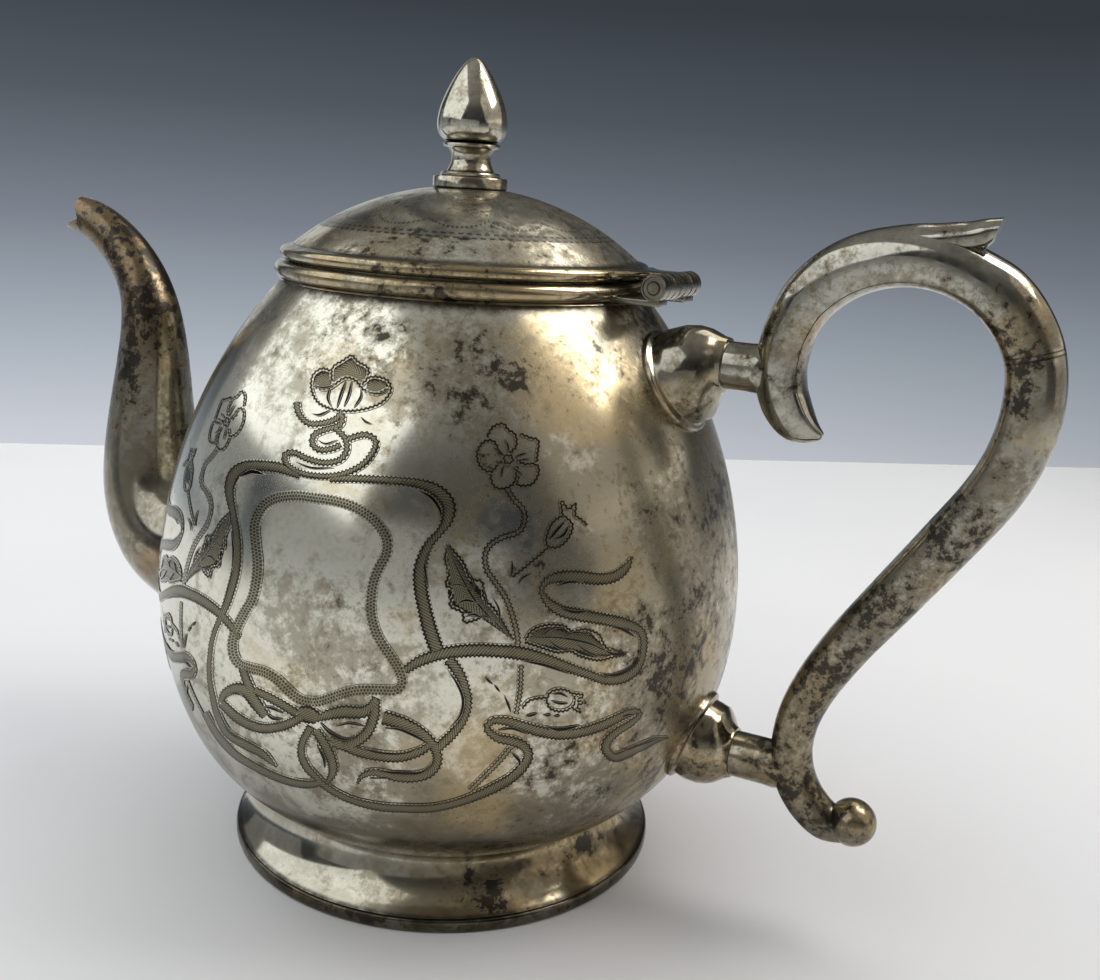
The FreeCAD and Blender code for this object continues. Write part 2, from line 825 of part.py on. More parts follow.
# Handle sockets, soldered on the body along its slope
def make_socket(label, height, arc, arc_x, flange_radius, ring_reach, stub_height):
    """Flanged cup from the body's slope to a level ring that takes the handle's tenon."""
    body = new_body(label)
    climb = (height - belly_height) / arc
    slope = math.degrees(math.asin(climb.value))
    level = leg(dim(1), climb)
    seat_x = arc_x + arc * level
    cup_low = size("flange_thickness") + size("cup_height")
    bury = size("flange_thickness") * 3

    def along(distance):
        return seat_x + level * distance, height + climb * distance

    flange_x, flange_z = along(-bury)
    flange = new_sketch(body, "flange", "YZ_Plane", (0, flange_z, flange_x), -slope)
    round_hole(flange, flange_radius)
    pad(body, flange, "flange_disc", bury + size("flange_thickness"))
    cup_radius = flange_radius - size("flange_step")
    ring = size("ring_radius")
    start_x, start_z = along(-bury)
    low_x, low_z = along(cup_low)
    full = 0.6
    near = 0.9
    loft(body, "cup", [
        (start_x, start_z, slope, cup_radius * 2),
        (low_x, low_z, slope, cup_radius * 2),
        (seat_x + (ring_reach - seat_x) * full, height + (stub_height - height) * full, slope * 0.4,
         (cup_radius + (ring - cup_radius) * 0.28) * 2),
        (seat_x + (ring_reach - seat_x) * near, height + (stub_height - height) * near, slope * 0.1,
         (cup_radius + (ring - cup_radius) * 0.88) * 2),
        (ring_reach, stub_height, 0.0, ring * 2),
    ])
    bore = new_sketch(body, "tenon_bore", "YZ_Plane", (0, stub_height, ring_reach))
    round_hole(bore, size("stub_radius") + gap)
    pocket(body, bore, "tenon_bore_cut", size("tenon_depth"))
    seat_on_pot(body)


upper_socket = belly_height + shoulder_rise * UPPER_SOCKET_SHARE
lower_socket = belly_height - lower_arc * LOWER_SOCKET_SHARE
upper_ring = shoulder_radius(upper_socket) + size("upper_cup_reach")
lower_ring = lower_x + leg(lower_arc, belly_height - lower_socket) + size("lower_cup_reach")
upper_stub = upper_socket + size("upper_stub_lift")
lower_stub = lower_socket - size("lower_stub_drop")


def make_sockets():
    make_socket("upper_socket", upper_socket, shoulder_arc, shoulder_x,
                size("upper_flange_radius"), upper_ring, upper_stub)
    make_socket("lower_socket", lower_socket, lower_arc, lower_x,
                size("lower_flange_radius"), lower_ring, lower_stub)


# Handle, cast in two scrolls that meet at a butt joint on the outer bend
loop_x = belly_radius + size("loop_out")
loop_radius = size("loop_radius")
handle_thickness = size("handle_thickness")
column_x = belly_radius + size("column_out")


def loop_point(angle, share):
    angle = dim(angle)
    return loop_x + loop_radius * share * angle.cos(), upper_stub + loop_radius * share * angle.sin()


def joint_station():
    angle = size("joint_angle")
    x, z = loop_point(angle, 1.0)
    return x, z, angle.value - 90.0 - 3.0, handle_thickness


def tenon(body, ring_reach, stub_height, end):
    """Round stub that runs from inside its socket into the scroll."""
    start = ring_reach - size("tenon_depth") + size("tenon_end_gap")
    sketch = new_sketch(body, "tenon", "YZ_Plane", (0, stub_height, start))
    round_hole(sketch, size("stub_radius"))
    pad(body, sketch, "tenon_stub", end - start)


def make_upper_scroll():
    body = new_body("handle_upper_scroll")
    stations = []
    for angle, share, heading, thick in HOOK_STATIONS:
        stations.append((*loop_point(angle, share), heading, handle_thickness * thick))
    for angle, share, thick in LOOP_STATIONS:
        stations.append((*loop_point(angle, share), angle - 90.0, handle_thickness * thick))
    stations.append(joint_station())
    loft(body, "loop", stations)
    thumb = []
    for angle, share, heading, thick in THUMB_STATIONS:
        thumb.append((*loop_point(angle, share), heading, handle_thickness * thick))
    loft(body, "thumb_piece", thumb)
    tenon(body, upper_ring, upper_stub, loop_x - loop_radius)


def make_lower_scroll():
    body = new_body("handle_lower_scroll")
    joint_x, joint_z, joint_heading, joint_thick = joint_station()
    stations = [(joint_x, joint_z, joint_heading, joint_thick)]
    for out, up, heading, thick in RUN_STATIONS:
        x = column_x + (joint_x - column_x) * out
        z = lower_stub + (joint_z - lower_stub) * up
        stations.append((x, z, heading, handle_thickness * thick))
    curl = size("curl_radius")
    curl_x = column_x + curl
    curl_z = lower_stub + size("curl_rise")
    for angle, thick in CURL_STATIONS:
        x = curl_x + curl * dim(angle).cos()
        z = curl_z + curl * dim(angle).sin()
        stations.append((x, z, angle + 90.0 - 360.0, handle_thickness * thick))
    loft(body, "run", stations)
    ball = body.newObject("PartDesign::AdditiveSphere", "ball")
    bind(ball, "Radius", size("ball_radius"))
    ball.AttachmentSupport = [(origin_plane(body, "XY_Plane"), "")]
    ball.MapMode = "FlatFace"
    bind(ball, "AttachmentOffset.Base.x", column_x + curl * BALL_OUT)
    bind(ball, "AttachmentOffset.Base.z", curl_z - curl * BALL_DROP)
    tenon(body, lower_ring, lower_stub, column_x)


make_body_shell()
make_mouth_wire()
make_foot()
make_lid()
make_finial()
make_finial_fixings()
make_hinge_bracket()
make_lid_leaf()
make_hinge_pin()
make_spout()
make_strainer()
make_sockets()
make_upper_scroll()
make_lower_scroll()
doc.recompute()

for thing in doc.Objects:
    if "Invalid" in thing.State or "Error" in thing.State:
        raise RuntimeError(f"{thing.Label} did not build: {thing.State}")
for part in parts:
    if part.Shape.isNull() or not part.Shape.isValid() or len(part.Shape.Solids) != 1:
        raise RuntimeError(f"{part.Label} is not one valid solid")

os.makedirs(PART_FOLDER, exist_ok=True)
for part in parts:
    part.Shape.exportStep(f"{PART_FOLDER}/{part.Label}.step")
    box = part.Shape.optimalBoundingBox()
    print(f"{part.Label}: volume {part.Shape.Volume:.1f} mm3, x {box.XMin:.1f} to {box.XMax:.1f}, "
          f"y {box.YMin:.1f} to {box.YMax:.1f}, z {box.ZMin:.1f} to {box.ZMax:.1f}")
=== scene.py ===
import math

import bpy
import numpy as np
from mathutils import Matrix, Vector


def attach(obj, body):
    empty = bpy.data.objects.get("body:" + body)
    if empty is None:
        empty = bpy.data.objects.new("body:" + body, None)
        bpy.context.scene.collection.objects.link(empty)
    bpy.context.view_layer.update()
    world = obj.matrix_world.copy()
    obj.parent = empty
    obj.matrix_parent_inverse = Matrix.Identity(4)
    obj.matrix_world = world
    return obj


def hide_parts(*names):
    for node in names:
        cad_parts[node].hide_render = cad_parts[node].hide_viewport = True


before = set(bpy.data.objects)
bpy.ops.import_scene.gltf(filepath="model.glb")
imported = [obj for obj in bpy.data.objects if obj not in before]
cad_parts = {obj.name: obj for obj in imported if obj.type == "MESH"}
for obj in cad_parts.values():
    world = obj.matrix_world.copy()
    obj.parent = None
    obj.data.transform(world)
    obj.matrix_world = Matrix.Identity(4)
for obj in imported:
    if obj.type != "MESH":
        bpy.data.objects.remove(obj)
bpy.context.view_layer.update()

# Sizes of the pot, in millimetres
MM = 0.001
BELLY_RADIUS = 68.75
BELLY_HEIGHT = 63.3
WALL = 1.2
NECK_RADIUS = 41.45
NECK_HEIGHT = 135.4
NECK_TOP = 139.1
BOTTOM_HEIGHT = 10.0
SHOULDER_ARC = 108.86
LOWER_ARC = 72.5
LOWER_ANGLE = 23.8
BOTTOM_ARC = 41.49
SHOULDER_X = BELLY_RADIUS - SHOULDER_ARC
LOWER_X = BELLY_RADIUS - LOWER_ARC
BOTTOM_X = LOWER_X + (LOWER_ARC - BOTTOM_ARC) * math.cos(math.radians(LOWER_ANGLE))
BOTTOM_Z = BELLY_HEIGHT - (LOWER_ARC - BOTTOM_ARC) * math.sin(math.radians(LOWER_ANGLE))
UPPER_SOCKET = 119.4
LOWER_SOCKET = 39.3
UPPER_STUB = 124.0
LOWER_STUB = 37.4
LOOP_X = 100.15
LOOP_RADIUS = 25.0
COLUMN_X = 87.9
HANDLE_THICKNESS = 12.0
SPOUT_ROOT = 56.5
SPOUT_PORT = 13.0
DOME_TOP = 157.21
DOME_RADIUS = 60.7
DOME_INSIDE = 59.5


# Hand tools
def put_down():
    """Leaves nothing selected."""
    if bpy.context.object and bpy.context.object.mode != "OBJECT":
        bpy.ops.object.mode_set(mode="OBJECT")
    bpy.ops.object.select_all(action="DESELECT")


def take(piece):
    put_down()
    piece.select_set(True)
    bpy.context.view_layer.objects.active = piece
    return piece


def apply_modifier(piece, kind, **settings):
    take(piece)
    tool = piece.modifiers.new("tool", kind)
    for key, value in settings.items():
        setattr(tool, key, value)
    bpy.ops.object.modifier_apply(modifier=tool.name)


def smooth(piece, angle=35.0):
    take(piece)
    bpy.ops.object.shade_smooth_by_angle(angle=math.radians(angle))


def edit_all():
    bpy.ops.object.mode_set(mode="EDIT")
    bpy.ops.mesh.select_all(action="SELECT")


def close_seams():
    bpy.ops.mesh.select_all(action="SELECT")
    bpy.ops.mesh.remove_doubles(threshold=0.002 * MM)
    bpy.ops.mesh.normals_make_consistent(inside=False)
    bpy.ops.object.mode_set(mode="OBJECT")


def arc(x, z, radius, start, end, step=1.5):
    """Points along an arc about (x, z), between two angles in degrees."""
    count = max(2, math.ceil(abs(math.radians(end - start)) * radius / step))
    points = []
    for number in range(count + 1):
        angle = math.radians(start + (end - start) * number / count)
        points.append((x + radius * math.cos(angle), z + radius * math.sin(angle)))
    return points


def turn(name, outline, around=192):
    """Turns an outline of (radius, height) points about the pot's axis."""
    put_down()
    bpy.ops.mesh.primitive_plane_add(size=MM)
    piece = bpy.context.object
    piece.name = name
    bpy.ops.object.mode_set(mode="EDIT")
    bpy.ops.mesh.merge(type="CENTER")
    radius, height = outline[0]
    bpy.ops.transform.translate(value=(radius * MM, 0, height * MM))
    for here, there in zip(outline, outline[1:]):
        step = ((there[0] - here[0]) * MM, 0, (there[1] - here[1]) * MM)
        bpy.ops.mesh.extrude_vertices_move(TRANSFORM_OT_translate={"value": step})
    bpy.ops.mesh.select_all(action="SELECT")
    bpy.ops.mesh.spin(steps=around, angle=math.tau, center=(0, 0, 0), axis=(0, 0, 1))
    close_seams()
    smooth(piece)
    return piece


def between(stations, per_span):
    """Smooth line through stations of (x, z, heading in degrees, thickness)."""
    line = []
    gaps = [math.dist(here[:2], there[:2]) for here, there in zip(stations, stations[1:])]
    thick = [station[3] for station in stations]
    swell = [(thick[1] - thick[0]) / gaps[0]]
    for number in range(1, len(gaps)):
        swell.append((thick[number + 1] - thick[number - 1]) / (gaps[number] + gaps[number - 1]))
    swell.append((thick[-1] - thick[-2]) / gaps[-1])
    for number, reach in enumerate(gaps):
        xa, za, ha, ta = stations[number]
        xb, zb, hb, tb = stations[number + 1]
        pull_a = (math.cos(math.radians(ha)) * reach, math.sin(math.radians(ha)) * reach)
        pull_b = (math.cos(math.radians(hb)) * reach, math.sin(math.radians(hb)) * reach)
        for step in range(per_span):
            t = step / per_span
            a = 2 * t ** 3 - 3 * t ** 2 + 1
            b = t ** 3 - 2 * t ** 2 + t
            c = 3 * t ** 2 - 2 * t ** 3
            d = t ** 3 - t ** 2
            line.append((a * xa + b * pull_a[0] + c * xb + d * pull_b[0],
                         a * za + b * pull_a[1] + c * zb + d * pull_b[1],
                         ha + (hb - ha) * t,
                         a * ta + b * swell[number] * reach + c * tb + d * swell[number + 1] * reach))
    line.append(stations[-1])
    return line


def draw_out(name, line, section, cap_start=True, cap_end=True):
    """Draws a cross-section of (outward, sideways) shares out along a line in the pot's middle plane."""
    put_down()
    x, z, heading, thick = line[0]
    bpy.ops.mesh.primitive_circle_add(vertices=len(section), radius=MM, fill_type="NOTHING")
    piece = bpy.context.object
    piece.name = name
    for corner, (out, side) in zip(piece.data.vertices, section):
        angle = math.radians(heading + 90.0)
        far = thick / 2 * out
        corner.co = ((x + far * math.cos(angle)) * MM, thick / 2 * side * MM,
                     (z + far * math.sin(angle)) * MM)
    edit_all()
    if cap_start:
        bpy.ops.mesh.edge_face_add()
    for here, there in zip(line, line[1:]):
        step = ((there[0] - here[0]) * MM, 0, (there[1] - here[1]) * MM)
        centre = (there[0] * MM, 0, there[1] * MM)
        swell = there[3] / here[3]
        bpy.ops.mesh.extrude_edges_move(TRANSFORM_OT_translate={"value": step})
        bend = math.radians(there[2] - here[2])
        bpy.ops.transform.rotate(value=bend, orient_axis="Y", center_override=centre)
        bpy.ops.transform.resize(value=(swell, swell, swell), center_override=centre)
    if cap_end:
        bpy.ops.mesh.edge_face_add()
    close_seams()
    smooth(piece)
    return piece


def round_off(piece):
    """Rounds a drawn piece, and then fills its open ends with flat faces."""
    apply_modifier(piece, "SUBSURF", levels=2, render_levels=2)
    take(piece)
    bpy.ops.object.mode_set(mode="EDIT")
    bpy.ops.mesh.select_mode(type="EDGE")
    bpy.ops.mesh.select_all(action="DESELECT")
    bpy.ops.mesh.select_non_manifold(extend=False)
    bpy.ops.mesh.fill_holes(sides=0)
    bpy.ops.mesh.select_mode(type="VERT")
    close_seams()


def slab(name, corners, start, end, upright=False):
    """Plate with the given corners; an upright one is thick across the pot, the other lies flat."""
    put_down()
    bpy.ops.mesh.primitive_circle_add(vertices=len(corners), radius=MM, fill_type="NGON")
    piece = bpy.context.object
    piece.name = name
    for corner, (x, far) in zip(piece.data.vertices, corners):
        corner.co = (x * MM, start * MM, far * MM) if upright else (x * MM, far * MM, start * MM)
    rise = (end - start) * MM
    step = (0, rise, 0) if upright else (0, 0, rise)
    edit_all()
    bpy.ops.mesh.extrude_region_move(TRANSFORM_OT_translate={"value": step})
    close_seams()
    return piece


def ring_section(corners):
    return [(math.cos(math.tau * n / corners), math.sin(math.tau * n / corners)) for n in range(corners)]


def join(name, *pieces):
    put_down()
    for piece in pieces:
        piece.select_set(True)
    bpy.context.view_layer.objects.active = pieces[0]
    bpy.ops.object.join()
    pieces[0].name = name
    return pieces[0]


def cut_away(piece, cutter):
    """Cuts one piece out of another and throws the cutter away."""
    apply_modifier(piece, "BOOLEAN", operation="DIFFERENCE", object=cutter, solver="EXACT")
    take(cutter)
    bpy.ops.object.delete()


def coat(piece, finish):
    piece.data.materials.clear()
    piece.data.materials.append(finish)


# Body, mouth and foot
def egg(inset, start_height):
    """Outline of the egg from a height on its bottom up to the neck."""
    low = math.degrees(math.asin((start_height - BOTTOM_Z) / (BOTTOM_ARC - inset)))
    high = math.degrees(math.asin((NECK_HEIGHT - BELLY_HEIGHT) / (SHOULDER_ARC - inset)))
    points = arc(BOTTOM_X, BOTTOM_Z, BOTTOM_ARC - inset, low, -LOWER_ANGLE)
    points += arc(LOWER_X, BELLY_HEIGHT, LOWER_ARC - inset, -LOWER_ANGLE, 0)[1:]
    return points + arc(SHOULDER_X, BELLY_HEIGHT, SHOULDER_ARC - inset, 0, high)[1:]


def make_body():
    outside = egg(0.0, BOTTOM_HEIGHT)
    inside = egg(WALL, BOTTOM_HEIGHT + WALL)
    lip = [(NECK_RADIUS, NECK_TOP), (NECK_RADIUS - WALL, NECK_TOP)]
    outline = [(0, BOTTOM_HEIGHT)] + outside + lip + inside[::-1] + [(0, BOTTOM_HEIGHT + WALL)]
    body = turn("body", outline, 256)
    put_down()
    bpy.ops.mesh.primitive_cylinder_add(vertices=64, radius=SPOUT_PORT * MM, depth=20 * MM,
                                        location=(-66 * MM, 0, SPOUT_ROOT * MM), rotation=(0, math.pi / 2, 0))
    port = bpy.context.object
    cut_away(body, port)
    smooth(body)
    return body


def half_round(radius, bulge, low, high):
    middle = (low + high) / 2
    points = []
    for radius_share, height_share in arc(0, 0, 1.0, -90, 90, 0.12):
        points.append((radius + bulge * radius_share, middle + (high - low) / 2 * height_share))
    return points


def make_mouth_wire():
    seat = NECK_RADIUS + 0.02
    outline = [(seat, 134.7), (seat + 0.5, 134.75), (seat + 0.72, 135.05), (seat + 0.5, 135.4)]
    outline += half_round(NECK_RADIUS + 0.1, 1.68, 135.5, 139.1)
    outline += [(seat, 139.1), (seat, 134.7)]
    return turn("mouth_wire", outline)


def make_foot():
    flare = [(43.2, 15.0), (43.9, 13.9), (44.2, 12.6), (44.7, 11.0), (45.5, 9.2), (46.7, 7.3), (48.1, 5.7),
             (49.6, 4.4), (50.5, 3.75), (51.15, 3.25)]
    inner = [(50.0, 3.25), (48.6, 4.3), (47.1, 5.6), (45.7, 7.1), (44.5, 9.0), (43.6, 11.0), (43.0, 12.8),
             (42.8, 14.4)]
    return turn("foot", flare + inner + flare[:1])


def make_foot_wire():
    outline = [(48.4, 0.0), (50.9, 0.0), (51.45, 0.12), (51.78, 0.45), (51.9, 0.9), (51.9, 2.2),
               (51.75, 2.75), (51.4, 3.1), (50.9, 3.2), (48.4, 3.2), (48.4, 0.0)]
    return turn("foot_wire", outline)


# Lid
def make_lid_dome():
    centre = DOME_TOP - DOME_RADIUS
    edge = math.degrees(math.acos(39.5 / DOME_RADIUS))
    inner = math.degrees(math.acos(38.8 / DOME_INSIDE))
    outline = arc(0, centre, DOME_RADIUS, edge, 90) + arc(0, centre, DOME_INSIDE, 90, inner)
    outline += [(39.5, 142.6), outline[0]]
    return turn("lid_shell", outline, 256)


def make_lid_wire():
    outline = [(37.6, 142.75), (39.2, 142.75), (39.9, 142.6)] + half_round(40.45, 1.55, 139.4, 142.4)[::-1]
    outline += [(37.6, 139.4), (37.6, 142.75)]
    return turn("lid_wire", outline)


def make_finial():
    base = [(2.0, 156.7), (8.1, 156.72), (8.38, 156.95), (8.4, 158.9), (8.2, 159.25), (7.2, 159.3),
            (6.9, 159.4), (6.7, 159.55), (6.72, 159.95), (6.5, 160.25), (5.6, 160.38), (2.0, 160.4),
            (2.0, 156.7)]
    stem = [(2.0, 160.42), (5.3, 160.42), (5.28, 160.7), (4.95, 161.3), (4.6, 162.1), (4.37, 163.0),
            (4.42, 163.9), (4.75, 164.8), (5.25, 165.45), (5.9, 165.62), (6.3, 165.75), (6.42, 166.1),
            (6.3, 166.45), (5.7, 166.75), (2.0, 166.8), (2.0, 160.42)]
    bud = [(2.0, 166.82), (5.5, 166.85), (6.2, 167.05), (6.85, 167.6), (7.4, 168.4), (7.75, 169.3),
           (7.9, 170.4), (7.84, 171.6), (7.6, 173.0), (7.2, 174.5), (6.65, 176.0), (5.95, 177.6),
           (5.15, 179.2), (4.25, 180.8), (3.3, 182.2), (2.35, 183.4), (1.5, 184.25), (0.75, 184.8),
           (0.0, 185.0)]
    under = [(0.0, 171.0), (2.0, 171.0), (2.0, 166.82)]
    return turn("knob_base", base, 96), turn("knob_stem", stem, 96), turn("knob_bud", bud + under, 96)


# Spout
def make_spout():
    rise = 87.97
    reach = 58.2
    mouth = 9.4
    swell = 31.6
    stations = []
    for out, up, heading, share in ((-0.15, 0.00, 180.0, 1.00), (0.13, 0.006, 163.0, 0.95),
                                    (0.335, 0.05, 133.0, 0.88), (0.482, 0.20, 97.0, 0.66),
                                    (0.487, 0.41, 88.0, 0.47), (0.462, 0.64, 92.0, 0.295),
                                    (0.515, 0.825, 122.0, 0.145), (0.77, 0.975, 151.0, 0.08),
                                    (1.00, 1.00, 172.0, 0.00)):
        stations.append((-BELLY_RADIUS - reach * out, SPOUT_ROOT + rise * up, heading, mouth + swell * share))
    spout = draw_out("spout_neck", between(stations, 8), ring_section(48), False, False)
    crook = Vector((-76, 0, 72)) * MM
    for corner in spout.data.vertices:
        corner.select = (corner.co - crook).length < 24 * MM and corner.co.z > 60 * MM
    bpy.ops.object.mode_set(mode="EDIT")
    bpy.ops.mesh.vertices_smooth(factor=0.5, repeat=40)
    bpy.ops.object.mode_set(mode="OBJECT")
    apply_modifier(spout, "SOLIDIFY", thickness=1.4 * MM, offset=-1.0)
    core = turn("core", [(0, BOTTOM_HEIGHT)] + egg(0.35, BOTTOM_HEIGHT + 0.5) + [(0, NECK_HEIGHT)], 256)
    cut_away(spout, core)
    corners = ((-116.8, 142.6), (-120.6, 150.5), (-130.0, 155.0), (-131.0, 138.0), (-126.0, 139.6))
    beak = slab("beak", corners, -12.0, 12.0, upright=True)
    cut_away(spout, beak)
    smooth(spout, 40)
    return spout


# Handle
HANDLE_SECTION = [(1.0, 0.0), (0.92, 0.39), (0.71, 0.71), (0.39, 0.92), (0.0, 1.0), (-0.39, 0.95),
                  (-0.64, 0.83), (-0.76, 0.68), (-0.84, 0.36), (-0.86, 0.0)]
HANDLE_SECTION += [(out, -side) for out, side in HANDLE_SECTION[-2:0:-1]]


def loop_point(angle, share):
    return (LOOP_X + LOOP_RADIUS * share * math.cos(math.radians(angle)),
            UPPER_STUB + LOOP_RADIUS * share * math.sin(math.radians(angle)))


def thickness(share):
    return HANDLE_THICKNESS * share * 1.02


def course(*rows):
    """Stations whose thickness is given as a share of the handle's."""
    return [(x, z, heading, thickness(share)) for x, z, heading, share in rows]


JOINT = (*loop_point(19.0, 1.0), 19.0 - 93.0, thickness(1.0))


def stub(name, start, end, height):
    """Round tenon that swells a little where it runs into its scroll."""
    line = [(start, height, 0.0, 10.2)]
    for past, wide in ((-1.0, 10.2), (0.3, 10.4), (1.5, 10.6), (2.8, 10.0), (4.4, 8.4)):
        line.append((end + past, height, 0.0, wide))
    return draw_out(name, line, ring_section(48))


def make_upper_scroll():
    stations = course((86.1, 111.7, 172.0, 0.12), (81.8, 113.1, 150.0, 0.66), (78.9, 115.8, 126.0, 0.85),
                      (76.7, 120.3, 104.0, 0.92))
    for angle, share, thick in ((174.0, 0.97, 0.95), (158.0, 0.98, 0.95), (142.0, 1.00, 1.02),
                                (120.0, 1.00, 1.07), (97.0, 0.995, 1.06), (66.0, 0.985, 0.98),
                                (50.0, 1.00, 1.02), (35.0, 1.00, 1.01)):
        stations.append((*loop_point(angle, share), angle - 90.0, thickness(thick)))
    loop = draw_out("loop", between(stations + [JOINT], 6), HANDLE_SECTION, True, False)
    round_off(loop)
    thumb = between(course((87.6, 145.6, 30.0, 0.55), (95.0, 150.6, 9.0, 0.70), (101.8, 152.2, 6.5, 0.60),
                           (108.6, 153.4, 8.5, 0.52), (114.0, 155.1, 18.0, 0.46)), 6)
    thumb[-2:] = course((113.3, 154.8, -2.0, 0.45), (114.4, 155.2, -16.0, 0.44))
    thumb = draw_out("thumb", thumb, [(out, side * 1.22) for out, side in HANDLE_SECTION], True, False)
    round_off(thumb)
    tenon = stub("tenon", 58.1, LOOP_X - LOOP_RADIUS - 5.0, UPPER_STUB)
    scroll = join("handle_upper", loop, thumb, tenon)
    smooth(scroll, 50)
    return scroll


def make_lower_scroll():
    stations = course((124.8, 122.2, -93.0, 1.02), (121.0, 107.5, -114.5, 1.00), (112.9, 94.1, -122.5, 0.98),
                      (103.5, 79.8, -123.0, 0.95), (94.8, 66.3, -119.0, 0.90), (88.5, 53.0, -108.0, 0.83),
                      (86.9, 44.5, -92.0, 0.79), (87.5, 38.3, -75.0, 0.79), (89.5, 33.5, -58.0, 0.78),
                      (92.5, 29.8, -43.0, 0.76), (96.3, 27.2, -20.0, 0.72), (101.0, 27.2, 8.0, 0.62))
    run = draw_out("run", between([JOINT] + stations, 6), HANDLE_SECTION, False, True)
    round_off(run)
    put_down()
    bpy.ops.mesh.primitive_uv_sphere_add(segments=48, ring_count=24, radius=5.2 * MM,
                                         location=(102.0 * MM, 0, 28.5 * MM))
    ball = bpy.context.object
    bpy.ops.object.transform_apply(location=True, rotation=True, scale=True)
    tenon = stub("tenon", 68.2, COLUMN_X - 5.2, LOWER_STUB)
    scroll = join("handle_lower", run, ball, tenon)
    smooth(scroll, 50)
    return scroll


def make_socket(name, height, arc_radius, arc_x, flange, reach, stub_height):
    """Flange that follows the body, a bell cup and a ring that takes the tenon."""
    slope = math.degrees(math.asin((height - BELLY_HEIGHT) / arc_radius))
    lean = math.radians(slope)
    seat_x = arc_x + arc_radius * math.cos(lean)
    ring_x = seat_x + reach
    stack = [(-0.6, flange - 0.1), (0.2, flange), (0.6, flange), (0.95, flange - 0.15), (1.15, flange - 0.5),
             (1.2, flange - 1.0), (1.35, flange - 1.25), (1.7, flange - 1.3), (2.6, flange - 1.25),
             (3.5, flange - 1.3)]
    line = []
    for out, radius in stack:
        line.append((seat_x + out * math.cos(lean), height + out * math.sin(lean), slope, radius * 2))
    low_x, low_z = line[-1][:2]
    cup = flange - 1.3
    for share, bend, narrow in ((0.25, 0.72, 0.06), (0.45, 0.48, 0.20), (0.62, 0.30, 0.40),
                                (0.76, 0.17, 0.62), (0.87, 0.08, 0.78), (0.94, 0.03, 0.84),
                                (0.985, 0.0, 0.86), (1.0, 0.0, 0.90)):
        radius = cup + (5.0 - cup) * narrow
        line.append((low_x + (ring_x - low_x) * share, low_z + (stub_height - low_z) * min(1.0, share * 1.06),
                     slope * bend, radius * 2))
    socket = draw_out(name, line, ring_section(64))
    across = (seat_x / math.cos(lean), arc_radius)
    normal = Vector((math.cos(lean), 0, math.sin(lean)))
    for corner in socket.data.vertices:
        from_seat = Vector(corner.co) / MM - Vector((seat_x, 0, height))
        out = from_seat.dot(normal)
        side = from_seat.y
        climb = from_seat.dot(Vector((-math.sin(lean), 0, math.cos(lean))))
        drop = side * side / (2 * across[0]) + climb * climb / (2 * across[1])
        corner.co -= normal * drop * MM * max(0.0, min(1.0, (7.0 - out) / 6.0))
    smooth(socket, 32)
    return socket


# Hinge
HINGE_X = 50.4
HINGE_Z = 139.3


def knuckle(start, end, rings):
    """Ringed barrel round the hinge pin, between two distances towards the front."""
    outline = [(1.3, start), (1.5, start + 0.3), (2.2, start + 0.3), (2.35, start), (2.62, start),
               (2.8, start + 0.2)]
    for number in range(1, rings):
        place = start + (end - start) * number / rings
        outline += [(2.8, place - 0.42), (2.62, place - 0.28), (2.3, place - 0.1), (2.3, place + 0.1),
                    (2.62, place + 0.28), (2.8, place + 0.42)]
    outline += [(2.8, end - 0.2), (2.62, end), (2.35, end), (2.2, end - 0.3), (1.5, end - 0.3), (1.3, end)]
    barrel = turn("knuckle", outline + outline[:1], 64)
    take(barrel)
    edit_all()
    bpy.ops.transform.rotate(value=-math.pi / 2, orient_axis="X", center_override=(0, 0, 0))
    bpy.ops.transform.translate(value=(HINGE_X * MM, 0, HINGE_Z * MM))
    bpy.ops.object.mode_set(mode="OBJECT")
    return barrel


def make_hinge():
    """Bracket with the outer knuckles, and the lid's leaf with the middle one."""
    bracket = [(51.6, -10.9), (51.6, -5.1), (47.3, -5.1), (47.3, 5.1), (51.6, 5.1), (51.6, 10.9)]
    bracket = slab("bracket", bracket + arc(0, 0, 42.7, 14.8, -14.8), 135.55, 136.85)
    flank = [(46.9, 4.8), (45.2, 5.9), (43.4, 8.4), (41.6, 11.6)]
    leaf = [(46.9, -4.8), (HINGE_X, -4.8), (HINGE_X, 4.8)] + flank + arc(0, 0, 42.04, 15.9, -15.9)
    leaf = slab("leaf", leaf + [(x, -y) for x, y in flank[:0:-1]], 140.8, 142.1)
    for plate in (bracket, leaf):
        apply_modifier(plate, "BEVEL", width=0.25 * MM, segments=2)
    bracket = join("hinge_bracket", bracket, knuckle(5.1, 10.95, 2), knuckle(-10.95, -5.1, 2))
    leaf = join("hinge_leaf", leaf, knuckle(-4.8, 4.8, 3))
    for piece in (bracket, leaf):
        smooth(piece)
    return bracket, leaf


